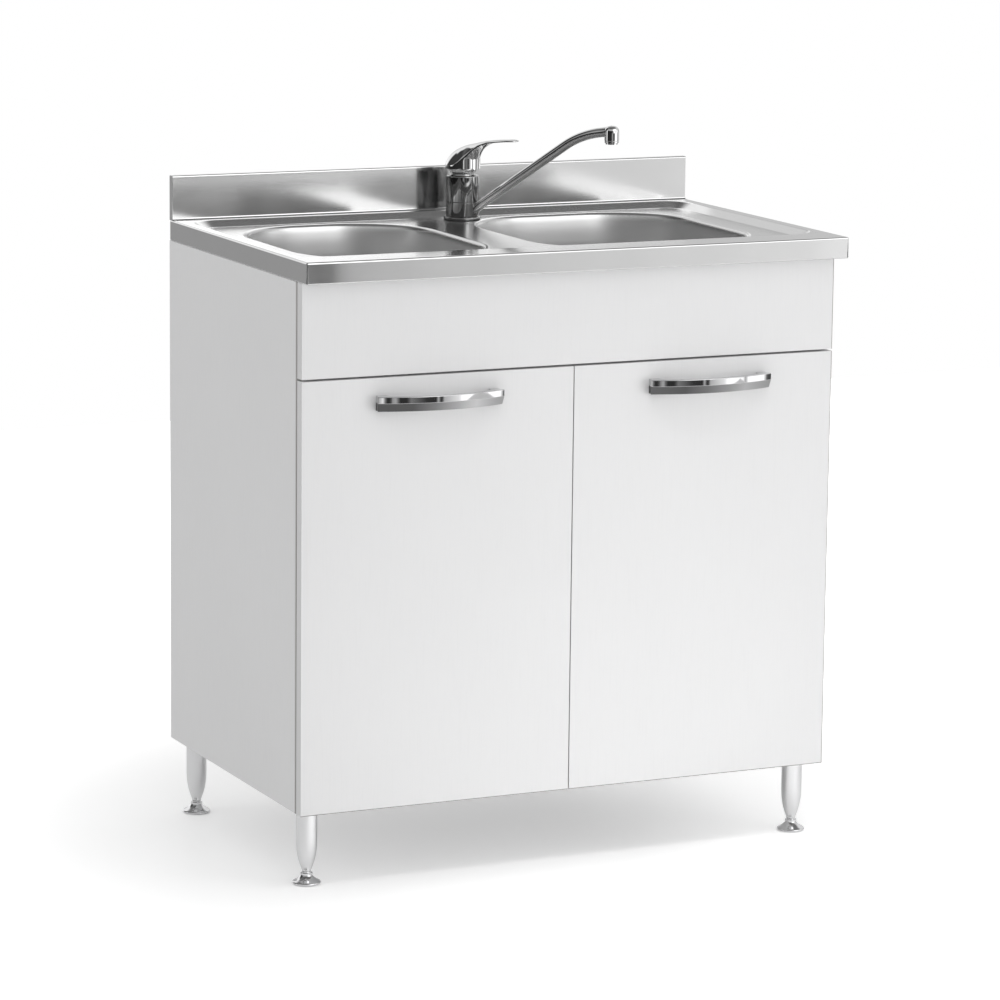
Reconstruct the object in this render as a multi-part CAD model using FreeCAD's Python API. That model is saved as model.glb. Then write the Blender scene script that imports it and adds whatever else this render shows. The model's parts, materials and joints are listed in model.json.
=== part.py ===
import FreeCAD
import Part
import math
import os

# Freestanding kitchen sink unit: a two-door cabinet on four adjustable legs, a pressed
# steel sink top with two bowls and a backsplash, a single-lever mixer tap and the waste kit.
# Millimetres. +Z is up, -Y is the front, +X is to the right when facing the doors.
# The origin is on the floor, under the middle of the whole unit.

V = FreeCAD.Vector
UP = V(0, 0, 1)

# ---------------------------------------------------------------- driving dimensions
SINK_WIDTH = 800.0
SINK_DEPTH = 500.0
SINK_TOP = 842.0             # height of the rim above the floor
RIM_HEIGHT = 29.0            # folded edge of the sink top
SPLASH_HEIGHT = 62.0         # backsplash above the rim
SPLASH_THICKNESS = 11.0
SHEET = 1.2                  # steel sheet

CABINET_WIDTH = 785.0
FRONT_OVERHANG = 15.0        # sink edge in front of the doors
CABINET_BOTTOM = 103.0
PANEL = 16.0                 # carcass and front boards
DOOR_GAP = 3.0               # air between a closed door and the carcass
FASCIA_JOINT = 3.0           # between the fascia and the doors
DOOR_JOINT = 1.6             # between the two doors
DOOR_TOP = 684.0
BACK_BOARD = 3.0

HANDLE_REACH = 32.0          # handle in front of the door
HANDLE_LENGTH = 182.0
HANDLE_HEIGHT = 20.0
HANDLE_TOP = 661.0

# ---------------------------------------------------------------- places
BACK = (SINK_DEPTH + HANDLE_REACH - FRONT_OVERHANG) / 2
SINK_FRONT = BACK - SINK_DEPTH
DOOR_FRONT = SINK_FRONT + FRONT_OVERHANG
DOOR_BACK = DOOR_FRONT + PANEL
CARCASS_FRONT = DOOR_BACK + DOOR_GAP
LEFT = -SINK_WIDTH / 2
RIGHT = LEFT + CABINET_WIDTH
MIDDLE = (LEFT + RIGHT) / 2
INNER_LEFT = LEFT + PANEL
INNER_RIGHT = RIGHT - PANEL
CARCASS_TOP = SINK_TOP - RIM_HEIGHT
FLOOR_BOARD_TOP = CABINET_BOTTOM + PANEL
BACK_BOARD_FRONT = BACK - 18.0
GROOVE = 6.0                 # depth of the groove that holds the back board

parts = {}


# ---------------------------------------------------------------- helpers
def box(x0, x1, y0, y1, z0, z1):
    return Part.makeBox(x1 - x0, y1 - y0, z1 - z0, V(x0, y0, z0))


def rod(x, y, z0, z1, radius):
    """Vertical cylinder between two heights."""
    return Part.makeCylinder(radius, z1 - z0, V(x, y, z0), UP)


def rod_y(x, z, y0, y1, radius):
    """Cylinder along the depth of the unit."""
    return Part.makeCylinder(radius, y1 - y0, V(x, y0, z), V(0, 1, 0))


def rod_x(y, z, x0, x1, radius):
    """Cylinder along the width of the unit."""
    return Part.makeCylinder(radius, x1 - x0, V(x0, y, z), V(1, 0, 0))


def polygon(points):
    return Part.Face(Part.makePolygon(points + [points[0]]))


def turned(x, y, profile):
    """Solid of revolution about the vertical through (x, y); profile is (radius, height) pairs."""
    face = polygon([V(x + r, y, z) for r, z in profile])
    return face.revolve(V(x, y, 0), UP, 360)


def rounded_wire(x0, x1, y0, y1, radius, z):
    """Rectangle with round corners, as a closed wire at height z."""
    k = radius * (1 - math.sqrt(0.5))
    corners = [
        (V(x1 - radius, y0, z), V(x1 - k, y0 + k, z), V(x1, y0 + radius, z)),
        (V(x1, y1 - radius, z), V(x1 - k, y1 - k, z), V(x1 - radius, y1, z)),
        (V(x0 + radius, y1, z), V(x0 + k, y1 - k, z), V(x0, y1 - radius, z)),
        (V(x0, y0 + radius, z), V(x0 + k, y0 + k, z), V(x0 + radius, y0, z)),
    ]
    edges = []
    for i, (start, middle, end) in enumerate(corners):
        edges.append(Part.Arc(start, middle, end).toShape())
        edges.append(Part.makeLine(end, corners[(i + 1) % 4][0]))
    return Part.Wire(edges)


def rounded_prism(x0, x1, y0, y1, radius, z0, z1):
    return Part.Face(rounded_wire(x0, x1, y0, y1, radius, z0)).extrude(V(0, 0, z1 - z0))


def fuse(shapes):
    result = shapes[0]
    for shape in shapes[1:]:
        result = result.fuse(shape)
    return result.removeSplitter()


def cut(shape, tools):
    for tool in tools:
        shape = shape.cut(tool)
    return shape


def mirrored(shape):
    """The same piece on the other side of the cabinet."""
    return shape.mirror(V(MIDDLE, 0, 0), V(1, 0, 0))


def group(shapes):
    return Part.makeCompound(shapes)


def screw_y(x, z, head_y, length, radius, head_radius, head):
    """Screw along the depth, its head at head_y and its shank towards the front."""
    shank = rod_y(x, z, head_y - length, head_y, radius)
    return fuse([shank, rod_y(x, z, head_y, head_y + head, head_radius)])


# ---------------------------------------------------------------- carcass
RAIL_BOTTOM = 668.0
BACK_RAIL_BOTTOM = 733.0
CUTOUT = (-150.0, 110.0, 430.0, 610.0)     # plumbing opening in the back board: x0, x1, z0, z1
DOWEL_RADIUS = 4.0
DOWEL_LENGTH = 30.0
DOWEL_PLAY = 0.1


def dowel_places():
    """(y, z) of each dowel in a side panel: along the floor board, then in the two rails."""
    floor_z = CABINET_BOTTOM + PANEL / 2
    places = [(y, floor_z) for y in (CARCASS_FRONT + 60, 20.0, BACK_BOARD_FRONT - 60)]
    places += [(CARCASS_FRONT + PANEL / 2, z) for z in (RAIL_BOTTOM + 30, CARCASS_TOP - 30)]
    places += [(BACK_BOARD_FRONT - PANEL / 2, z) for z in (BACK_RAIL_BOTTOM + 20, CARCASS_TOP - 20)]
    return places


def left_dowel(y, z, radius, length):
    return rod_x(y, z, INNER_LEFT - length / 2, INNER_LEFT + length / 2, radius)


def dowel_holes():
    # a side panel is only bored part of the way, so the holes stop inside it
    holes = []
    for y, z in dowel_places():
        hole = rod_x(y, z, INNER_LEFT - 12, INNER_LEFT + DOWEL_LENGTH / 2 + 3, DOWEL_RADIUS)
        holes += [hole, mirrored(hole)]
    return holes


def carcass():
    side = box(LEFT, INNER_LEFT, CARCASS_FRONT, BACK, CABINET_BOTTOM, CARCASS_TOP)
    groove = box(INNER_LEFT - GROOVE, INNER_LEFT, BACK_BOARD_FRONT, BACK_BOARD_FRONT + BACK_BOARD,
                 CABINET_BOTTOM, CARCASS_TOP)
    side = side.cut(groove)
    floor = box(INNER_LEFT, INNER_RIGHT, CARCASS_FRONT, BACK_BOARD_FRONT, CABINET_BOTTOM, FLOOR_BOARD_TOP)
    # the front rail carries the fascia and is rebated where the doors close against it
    front = box(INNER_LEFT, INNER_RIGHT, DOOR_BACK, CARCASS_FRONT + PANEL, RAIL_BOTTOM, CARCASS_TOP)
    front = front.cut(box(INNER_LEFT, INNER_RIGHT, DOOR_BACK, CARCASS_FRONT,
                          RAIL_BOTTOM, DOOR_TOP + FASCIA_JOINT))
    back = box(INNER_LEFT, INNER_RIGHT, BACK_BOARD_FRONT - PANEL, BACK_BOARD_FRONT,
               BACK_RAIL_BOTTOM, CARCASS_TOP)
    board = box(INNER_LEFT - GROOVE, INNER_RIGHT + GROOVE, BACK_BOARD_FRONT,
                BACK_BOARD_FRONT + BACK_BOARD, CABINET_BOTTOM, CARCASS_TOP)
    x0, x1, z0, z1 = CUTOUT
    board = board.cut(box(x0, x1, BACK_BOARD_FRONT - 5, BACK, z0, z1))
    holes = dowel_holes()
    parts["left_side_panel"] = cut(side, holes)
    parts["right_side_panel"] = cut(mirrored(side), holes)
    parts["floor_board"] = cut(floor, holes + leg_bolt_holes())
    parts["front_rail"] = cut(front, holes + fascia_screw_holes())
    parts["back_rail"] = cut(back, holes)
    parts["back_board"] = board
    dowels = []
    for y, z in dowel_places():
        dowel = rod_x(y, z, INNER_LEFT - 11.5, INNER_LEFT + DOWEL_LENGTH / 2, DOWEL_RADIUS - DOWEL_PLAY)
        dowels += [dowel, mirrored(dowel)]
    parts["carcass_dowels"] = group(dowels)


# ---------------------------------------------------------------- fascia
FASCIA_SCREW_Z = 760.0
FASCIA_SCREW_X = 250.0       # from the middle of the cabinet
FASCIA_SCREW_RADIUS = 2.0


def fascia_screw_holes():
    return [rod_y(MIDDLE + side * FASCIA_SCREW_X, FASCIA_SCREW_Z, DOOR_FRONT + 4, BACK,
                  FASCIA_SCREW_RADIUS + 0.1) for side in (-1, 1)]


def fascia():
    bottom = DOOR_TOP + FASCIA_JOINT
    board = box(LEFT, RIGHT, DOOR_FRONT, DOOR_BACK, bottom, CARCASS_TOP)
    board = cut(board, [rod_y(MIDDLE + side * FASCIA_SCREW_X, FASCIA_SCREW_Z, DOOR_BACK - 12, BACK,
                              FASCIA_SCREW_RADIUS + 0.1) for side in (-1, 1)])
    parts["fascia_panel"] = board
    parts["fascia_screws"] = group([
        screw_y(MIDDLE + side * FASCIA_SCREW_X, FASCIA_SCREW_Z, CARCASS_FRONT + PANEL, PANEL + DOOR_GAP + 10,
                FASCIA_SCREW_RADIUS, 4.0, 2.0) for side in (-1, 1)])


# ---------------------------------------------------------------- doors and handles
HINGE_HEIGHTS = (CABINET_BOTTOM + 90, DOOR_TOP - 90)
CUP_RADIUS = 17.5
CUP_DEPTH = 11.5
CUP_EDGE = 3.0               # wood left between the cup and the door edge
HANDLE_SCREWS = 160.0        # between the two screws of a handle
HANDLE_FROM_MIDDLE = 200.0   # centre of a handle to the middle of the cabinet
HANDLE_END_REACH = 14.0
HANDLE_BAR = 8.0             # thickness of the bar, front to back
HANDLE_FOOT = 15.0
HANDLE_CREASE = 9.0          # below the top
HANDLE_X = MIDDLE - HANDLE_FROM_MIDDLE
HANDLE_BOW_RADIUS = ((HANDLE_LENGTH / 2) ** 2 + (HANDLE_REACH - HANDLE_END_REACH) ** 2) \
    / (2 * (HANDLE_REACH - HANDLE_END_REACH))
CUP_X = LEFT + CUP_EDGE + CUP_RADIUS
CUP_SCREW_X = CUP_X + 5
CUP_SCREW_Z = 26.0           # above and below the hinge's middle
CUP_SCREW_HOLE = 1.8
SCREW_Z = HANDLE_TOP - HANDLE_HEIGHT / 2


def door():
    board = box(LEFT, MIDDLE - DOOR_JOINT / 2, DOOR_FRONT, DOOR_BACK, CABINET_BOTTOM, DOOR_TOP)
    cups = [rod_y(CUP_X, z, DOOR_BACK - CUP_DEPTH, DOOR_BACK, CUP_RADIUS) for z in HINGE_HEIGHTS]
    bores = [rod_y(HANDLE_X + side * HANDLE_SCREWS / 2, SCREW_Z, DOOR_FRONT, DOOR_BACK, 2.2)
             for side in (-1, 1)]
    pilot = [rod_y(CUP_SCREW_X, z + side * CUP_SCREW_Z, DOOR_BACK - 11, DOOR_BACK, CUP_SCREW_HOLE)
             for z in HINGE_HEIGHTS for side in (-1, 1)]
    pins = [hinge_pin(z) for z in HINGE_HEIGHTS]
    return cut(board, cups + bores + pilot + pins)


def handle():
    """Bow handle: a bar bent to an arc in plan, with a crease along its front and two feet."""
    centre = V(HANDLE_X, DOOR_FRONT - HANDLE_REACH + HANDLE_BOW_RADIUS, 0)
    outer = DOOR_FRONT - HANDLE_REACH
    low = HANDLE_TOP - HANDLE_HEIGHT
    section = polygon([
        V(HANDLE_X, outer + 1.5, HANDLE_TOP),
        V(HANDLE_X, outer, HANDLE_TOP - 1.5),
        V(HANDLE_X, outer, HANDLE_TOP - HANDLE_CREASE),
        V(HANDLE_X, outer + 3.5, low),
        V(HANDLE_X, outer + HANDLE_BAR, low),
        V(HANDLE_X, outer + HANDLE_BAR, HANDLE_TOP),
    ])
    half_angle = math.degrees(math.asin(HANDLE_LENGTH / 2 / HANDLE_BOW_RADIUS))
    section.rotate(centre, UP, -half_angle)
    bar = section.revolve(centre, UP, 2 * half_angle)
    # each foot reaches from the door to the inside of the bar
    swept = rod(centre.x, centre.y, low, HANDLE_TOP, HANDLE_BOW_RADIUS - HANDLE_BAR / 2)
    feet = []
    for side in (-1, 1):
        x = HANDLE_X + side * (HANDLE_LENGTH - HANDLE_FOOT) / 2
        foot = box(x - HANDLE_FOOT / 2, x + HANDLE_FOOT / 2, DOOR_FRONT - HANDLE_REACH, DOOR_FRONT,
                   low + 1, HANDLE_TOP - 1)
        feet.append(foot.common(swept))
    solid = fuse([bar] + feet)
    bores = [rod_y(HANDLE_X + side * HANDLE_SCREWS / 2, SCREW_Z, DOOR_FRONT - 9, DOOR_FRONT, 2.1)
             for side in (-1, 1)]
    return cut(solid, bores)


def handle_screws():
    return [screw_y(HANDLE_X + side * HANDLE_SCREWS / 2, SCREW_Z, DOOR_BACK, PANEL + 8, 2.0, 4.0, 2.0)
            for side in (-1, 1)]


def bumpers():
    x = MIDDLE - DOOR_JOINT / 2 - 12
    return [rod_y(x, z, DOOR_BACK + 0.2, CARCASS_FRONT, 5.0) for z in (CABINET_BOTTOM + 8, DOOR_TOP - 8)]


def doors():
    parts["left_door"] = door()
    parts["right_door"] = mirrored(door())
    parts["left_handle"] = handle()
    parts["right_handle"] = mirrored(handle())
    parts["left_handle_screws"] = group(handle_screws())
    parts["right_handle_screws"] = mirrored(group(handle_screws()))
    pads = bumpers()
    parts["door_bumpers"] = group(pads + [mirrored(p) for p in pads])


# ---------------------------------------------------------------- hinges
# Each hinge turns on one pin that sits in the cup, 7 mm in from the door's outer edge. Its
# arm is bent like an L, so that it passes round the edge of the open door.
PIN_X = LEFT + 7.0
PIN_Y = DOOR_FRONT + 8.0
PIN_RADIUS = 1.5
PIN_HALF = 10.5              # its ends are held in the wall of the cup
PIN_PLAY = 0.05
EYE_RADIUS = 2.6
EYE_HALF = 3.5
ARM_HALF = 6.5
ARM_THICKNESS = 2.2
PLATE_THICKNESS = 1.3
CUP_WALL = 0.7
CUP_PLAY = 0.1
WING_THICKNESS = 1.2         # flat of the cup that is screwed to the door
ARM_BACK = CARCASS_FRONT + 62
CLAMP_Y = ARM_BACK - 14      # screw that holds an arm to its plate
PLATE_SCREW_Y = CARCASS_FRONT + 37
PLATE_SCREW_Z = 16.0         # above and below the hinge's middle
SMALL_SCREW = (2.0, 3.6)     # radius of the shank and of the head
SMALL_SCREW_HOLE = 2.1
SMALL_SCREW_LENGTH = 9.0     # in the board


def hinge_cup(z):
    radius = CUP_RADIUS - CUP_PLAY
    face = DOOR_BACK + WING_THICKNESS
    outer = rod_y(CUP_X, z, DOOR_BACK - CUP_DEPTH, DOOR_BACK, radius)
    wing = box(CUP_X - 1, CUP_X + 11, DOOR_BACK, face, z - CUP_SCREW_Z - 5, z + CUP_SCREW_Z + 5)
    collar = rod_y(CUP_X, z, DOOR_BACK, face, CUP_RADIUS + 1.5)
    inside = rod_y(CUP_X, z, DOOR_BACK - CUP_DEPTH + CUP_WALL, CARCASS_FRONT, radius - CUP_WALL)
    holes = [rod_y(CUP_SCREW_X, z + side * CUP_SCREW_Z, DOOR_BACK, CARCASS_FRONT, CUP_SCREW_HOLE)
             for side in (-1, 1)]
    return cut(fuse([outer, wing, collar]), [inside, hinge_pin(z)] + holes)


def hinge_pin(z):
    return rod(PIN_X, PIN_Y, z - PIN_HALF, z + PIN_HALF, PIN_RADIUS)


def hinge_arm(z):
    bend = INNER_LEFT + PLATE_THICKNESS
    eye = rod(PIN_X, PIN_Y, z - EYE_HALF, z + EYE_HALF, EYE_RADIUS)
    half = ARM_THICKNESS / 2
    stub = box(PIN_X, bend + ARM_THICKNESS, PIN_Y - half, PIN_Y + half, z - EYE_HALF, z + EYE_HALF)
    strip = box(bend, bend + ARM_THICKNESS, PIN_Y - half, ARM_BACK, z - EYE_HALF, z + EYE_HALF)
    blade = box(bend, bend + ARM_THICKNESS, CARCASS_FRONT + 4, ARM_BACK, z - ARM_HALF, z + ARM_HALF)
    bore = rod(PIN_X, PIN_Y, z - EYE_HALF, z + EYE_HALF, PIN_RADIUS + PIN_PLAY)
    screw_hole = rod_x(CLAMP_Y, z, bend, bend + ARM_THICKNESS, 3.1)
    return cut(fuse([eye, stub, strip, blade]), [bore, screw_hole])


def hinge_plate(z):
    face = INNER_LEFT + PLATE_THICKNESS
    plate = box(INNER_LEFT, face, CARCASS_FRONT + 20, ARM_BACK + 6, z - 26, z + 26)
    holes = [rod_x(PLATE_SCREW_Y, z + side * PLATE_SCREW_Z, INNER_LEFT, face, SMALL_SCREW_HOLE)
             for side in (-1, 1)]
    return cut(plate, holes)


def panel_screw(y, z, face):
    """Small screw through a fitting whose face is this far in, into the left side panel."""
    shank, head = SMALL_SCREW
    return fuse([rod_x(y, z, INNER_LEFT - SMALL_SCREW_LENGTH, face, shank),
                 rod_x(y, z, face, face + 2, head)])


def panel_screw_hole(y, z):
    return rod_x(y, z, INNER_LEFT - SMALL_SCREW_LENGTH - 1, INNER_LEFT, SMALL_SCREW_HOLE)


def hinge_screws(z):
    """Two screws hold the plate to the side panel and one holds the arm to the plate."""
    face = INNER_LEFT + PLATE_THICKNESS
    top = face + ARM_THICKNESS
    screws = [panel_screw(PLATE_SCREW_Y, z + side * PLATE_SCREW_Z, face) for side in (-1, 1)]
    screws.append(fuse([rod_x(CLAMP_Y, z, face, top, 3.0), rod_x(CLAMP_Y, z, top, top + 2, 4.8)]))
    return screws


def hinge_screw_holes():
    holes = []
    for z in HINGE_HEIGHTS:
        for side in (-1, 1):
            hole = panel_screw_hole(PLATE_SCREW_Y, z + side * PLATE_SCREW_Z)
            holes += [hole, mirrored(hole)]
    return holes


def cup_screws(z):
    return [screw_y(CUP_SCREW_X, z + side * CUP_SCREW_Z, DOOR_BACK + WING_THICKNESS, 11, 1.7, 3.2, 1.4)
            for side in (-1, 1)]


def hinges():
    cups = group([hinge_cup(z) for z in HINGE_HEIGHTS])
    pins = group([hinge_pin(z) for z in HINGE_HEIGHTS])
    arms = [hinge_arm(z) for z in HINGE_HEIGHTS]
    screws = group([s for z in HINGE_HEIGHTS for s in cup_screws(z)])
    plates = [hinge_plate(z) for z in HINGE_HEIGHTS]
    plate_screws = [s for z in HINGE_HEIGHTS for s in hinge_screws(z)]
    for side, place in (("left", lambda s: s), ("right", mirrored)):
        parts[side + "_hinge_cups"] = place(cups)
        parts[side + "_hinge_pins"] = place(pins)
        parts[side + "_hinge_cup_screws"] = place(screws)
    parts["hinge_arms"] = group(arms + [mirrored(a) for a in arms])
    parts["hinge_plates"] = group(plates + [mirrored(p) for p in plates])
    short_screws = plate_screws + clip_screws()
    parts["cabinet_screws"] = group(short_screws + [mirrored(s) for s in short_screws])
    holes = hinge_screw_holes()
    for name in ("left_side_panel", "right_side_panel"):
        parts[name] = cut(parts[name], holes)


# ---------------------------------------------------------------- legs and feet
LEG_FROM_SIDE = 25.0
LEG_FROM_DOOR = 40.0         # front legs, behind the door fronts
LEG_FROM_BACK = 35.5
LEG_RADIUS = 14.3
LEG_BOTTOM = 17.4
STEM_RADIUS = 4.0
STEM_PLAY = 0.08
STEM_TOP = 70.0
LEG_PLACES = {
    "front_left": (LEFT + LEG_FROM_SIDE, DOOR_FRONT + LEG_FROM_DOOR),
    "front_right": (RIGHT - LEG_FROM_SIDE, DOOR_FRONT + LEG_FROM_DOOR),
    "back_left": (LEFT + LEG_FROM_SIDE, BACK - LEG_FROM_BACK),
    "back_right": (RIGHT - LEG_FROM_SIDE, BACK - LEG_FROM_BACK),
}
BOLT_RADIUS = 3.9


def leg_bolt_holes():
    return [rod(x, y, CABINET_BOTTOM - 1, CABINET_BOTTOM + 12, BOLT_RADIUS + 0.1)
            for x, y in LEG_PLACES.values()]


def leg(x, y):
    """Slim leg that keeps its width for the upper half and tapers to a narrow neck."""
    profile = [(0, LEG_BOTTOM), (6.2, LEG_BOTTOM), (6.6, 19.5), (7.9, 22.5), (9.0, 25.5), (10.7, 31),
               (12.2, 37), (13.6, 46), (14.2, 56), (LEG_RADIUS, 66), (LEG_RADIUS, CABINET_BOTTOM),
               (0, CABINET_BOTTOM)]
    solid = turned(x, y, profile)
    stem_hole = rod(x, y, LEG_BOTTOM - 1, STEM_TOP + 2, STEM_RADIUS + STEM_PLAY)
    bolt_hole = rod(x, y, CABINET_BOTTOM - 17, CABINET_BOTTOM + 1, BOLT_RADIUS + 0.1)
    return cut(solid, [stem_hole, bolt_hole])


def foot(x, y):
    """Bell-shaped levelling foot with its threaded stem."""
    profile = [(0, 0), (17.6, 0), (19.2, 1.3), (19.4, 2.8), (18.7, 4.1), (14.2, 5.0), (11.3, 6.2),
               (9.3, 8.2), (8.1, 10.6), (7.7, 12.6), (8.3, 13.0), (8.3, 15.0), (6.1, 15.5), (6.1, 17.0),
               (STEM_RADIUS, 17.0), (STEM_RADIUS, STEM_TOP), (0, STEM_TOP)]
    return turned(x, y, profile)


def legs():
    for name, (x, y) in LEG_PLACES.items():
        parts[name + "_leg"] = leg(x, y)
        parts[name + "_foot"] = foot(x, y)
    parts["leg_bolts"] = group([rod(x, y, CABINET_BOTTOM - 16, CABINET_BOTTOM + 11, BOLT_RADIUS)
                                for x, y in LEG_PLACES.values()])


# ---------------------------------------------------------------- sink top and bowls
SIDE_RIM = 15.0              # flat rim, left and right
FRONT_RIM = 54.0
BACK_RIM = 12.0              # between the recess and the backsplash
RECESS = 9.0                 # the deck lies this far below the rim
RECESS_RUN = 14.0            # width of the slope from rim to deck
RECESS_CORNER = 42.0
DECK = SINK_TOP - RECESS
BOWL_FRONT = DOOR_FRONT + 58.0
BOWL_LENGTH = 372.0          # front to back
LEFT_BOWL = (LEFT + 56.0, 272.0)           # left edge, width
RIGHT_BOWL = (LEFT + 402.0, 326.0)
BOWL_CORNER = 112.0
BOWL_DEPTH = 150.0
BOWL_DRAFT = 7.0             # the walls lean in by this much down to the floor
BOWL_FILLET = 28.0
BOWL_FLOOR = DECK - BOWL_DEPTH
FLANGE = 12.0                # inward fold that rests on the cabinet
TAP_X = 18.0
TAP_Y = 195.5
TAP_HOLE = 17.5
DRAIN_HOLE = 44.0


def tapered_rounded(x0, x1, y0, y1, radius, z_top, z_bottom, inset):
    """Rounded prism that narrows by inset on each side from its top to its bottom."""
    top = rounded_wire(x0, x1, y0, y1, radius, z_top)
    bottom = rounded_wire(x0 + inset, x1 - inset, y0 + inset, y1 - inset, radius - inset, z_bottom)
    return Part.makeLoft([bottom, top], True, True)


def bowl_outline(edge, width, grow):
    return (edge - grow, edge + width + grow, BOWL_FRONT - grow, BOWL_FRONT + BOWL_LENGTH + grow)


def recess_pocket(grow):
    """The shallow tray pressed into the sink top; grow makes the matching underside."""
    x0 = LEFT + SIDE_RIM - grow
    x1 = LEFT + SINK_WIDTH - SIDE_RIM + grow
    y0 = SINK_FRONT + FRONT_RIM - grow
    y1 = BACK - SPLASH_THICKNESS - BACK_RIM + grow
    return tapered_rounded(x0, x1, y0, y1, RECESS_CORNER + grow, SINK_TOP, DECK - grow, RECESS_RUN)


def sink_top():
    right = LEFT + SINK_WIDTH
    skin = box(LEFT, right, SINK_FRONT, BACK, CARCASS_TOP, SINK_TOP)
    edges = [e for e in skin.Edges if abs(e.BoundBox.ZMin - e.BoundBox.ZMax) < 0.01
             and e.BoundBox.ZMax > SINK_TOP - 0.01 and e.BoundBox.YMin < BACK - 1]
    skin = skin.makeFillet(3.0, edges)
    skin = skin.cut(recess_pocket(0))
    hollow = box(LEFT + SHEET, right - SHEET, SINK_FRONT + SHEET, BACK - SHEET,
                 CARCASS_TOP - 1, SINK_TOP - SHEET)
    hollow_edges = [e for e in hollow.Edges if abs(e.BoundBox.ZMin - e.BoundBox.ZMax) < 0.01
                    and e.BoundBox.ZMax > SINK_TOP - SHEET - 0.01]
    hollow = hollow.makeFillet(2.0, hollow_edges)
    hollow = hollow.cut(recess_pocket(SHEET))
    skin = skin.cut(hollow)
    flange = box(LEFT, right, SINK_FRONT, BACK, CARCASS_TOP, CARCASS_TOP + SHEET)
    flange = flange.cut(box(LEFT + FLANGE, right - SIDE_RIM - FLANGE, SINK_FRONT + FRONT_OVERHANG + FLANGE,
                            BACK - FLANGE, CARCASS_TOP - 1, CARCASS_TOP + 2))
    splash = box(LEFT, right, BACK - SPLASH_THICKNESS, BACK, SINK_TOP - SHEET, SINK_TOP + SPLASH_HEIGHT)
    splash_edges = [e for e in splash.Edges if e.BoundBox.ZMin > SINK_TOP + SPLASH_HEIGHT - 0.01
                    and e.BoundBox.XMax - e.BoundBox.XMin > 1]
    splash = splash.makeFillet(2.5, splash_edges)
    fold = box(LEFT + SHEET, right - SHEET, BACK - SPLASH_THICKNESS + SHEET, BACK - SHEET,
               SINK_TOP - 5, SINK_TOP + SPLASH_HEIGHT - 3)
    holes = [fold, rod(TAP_X, TAP_Y, DECK - 10, DECK + 5, TAP_HOLE)]
    for edge, width in (LEFT_BOWL, RIGHT_BOWL):
        x0, x1, y0, y1 = bowl_outline(edge, width, 0)
        holes.append(rounded_prism(x0, x1, y0, y1, BOWL_CORNER, DECK - 10, DECK + 5))
    parts["sink_top"] = cut(fuse([skin, flange, splash]), holes)


def bowl(edge, width):
    """Deep-drawn bowl with round corners, a round foot and a flat floor."""
    solids = []
    for grow in (0, SHEET):
        x0, x1, y0, y1 = bowl_outline(edge, width, grow - SHEET)
        block = tapered_rounded(x0, x1, y0, y1, BOWL_CORNER + grow - SHEET, DECK, BOWL_FLOOR - grow,
                                BOWL_DRAFT)
        foot_edges = [e for e in block.Edges if e.BoundBox.ZMax < BOWL_FLOOR + 1]
        solids.append(block.makeFillet(BOWL_FILLET + grow, foot_edges))
    shell = solids[1].cut(solids[0])
    x, y = bowl_centre(edge, width)
    return shell.cut(rod(x, y, BOWL_FLOOR - 10, BOWL_FLOOR + 10, DRAIN_HOLE))


def bowl_centre(edge, width):
    return edge + width / 2, BOWL_FRONT + BOWL_LENGTH / 2


def sink():
    sink_top()
    parts["left_bowl"] = bowl(*LEFT_BOWL)
    parts["right_bowl"] = bowl(*RIGHT_BOWL)


CLIP_THICKNESS = 2.0
CLIP_DROP = 36.0
CLIP_HALF = 10.0             # half the width of a clip
CLIP_Y = (-120.0, 150.0)
CLIP_SCREW_Z = CARCASS_TOP - 24


def clip_screws():
    return [panel_screw(y, CLIP_SCREW_Z, INNER_LEFT + CLIP_THICKNESS) for y in CLIP_Y]


def sink_clips():
    """Bent hooks screwed inside the side panels; each tongue holds the sink's flange down."""
    clips = []
    face = INNER_LEFT + CLIP_THICKNESS
    tongue = CARCASS_TOP + SHEET
    top = tongue + CLIP_THICKNESS
    for y in CLIP_Y:
        leaf = box(INNER_LEFT, face, y - CLIP_HALF, y + CLIP_HALF, CARCASS_TOP - CLIP_DROP, top)
        hook = box(LEFT + 5, face, y - CLIP_HALF, y + CLIP_HALF, tongue, top)
        hole = rod_x(y, CLIP_SCREW_Z, INNER_LEFT, face, SMALL_SCREW_HOLE)
        clip = fuse([leaf, hook]).cut(hole)
        clips += [clip, mirrored(clip)]
        pilot = panel_screw_hole(y, CLIP_SCREW_Z)
        parts["left_side_panel"] = parts["left_side_panel"].cut(pilot)
        parts["right_side_panel"] = parts["right_side_panel"].cut(mirrored(pilot))
    parts["sink_clips"] = group(clips)


# ---------------------------------------------------------------- drains and strainers
CUP_FLOOR = BOWL_FLOOR - 42.0
CUP_OUTER = 43.6             # outside of the drain's cup, which passes through the bowl's hole
CUP_INNER = 41.5
NUT_BORE = 43.8
DRAIN_FLANGE = 56.0
SEAL_THICKNESS = 3.0
TAIL_RADIUS = 20.0
TAIL_BOTTOM = CUP_FLOOR - 32.0
PIPE_WALL = 2.0


def drain(x, y):
    """Strainer housing: flange in the bowl, deep cup through its floor and a threaded tail."""
    top = BOWL_FLOOR
    bore = TAIL_RADIUS - PIPE_WALL
    return turned(x, y, [
        (CUP_INNER, top + 1.0), (CUP_INNER, CUP_FLOOR + 3), (bore, CUP_FLOOR + 3), (bore, TAIL_BOTTOM),
        (TAIL_RADIUS, TAIL_BOTTOM), (TAIL_RADIUS, CUP_FLOOR), (CUP_OUTER, CUP_FLOOR), (CUP_OUTER, top),
        (DRAIN_FLANGE, top), (DRAIN_FLANGE, top + 0.6), (DRAIN_HOLE, top + 2.2)])


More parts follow.
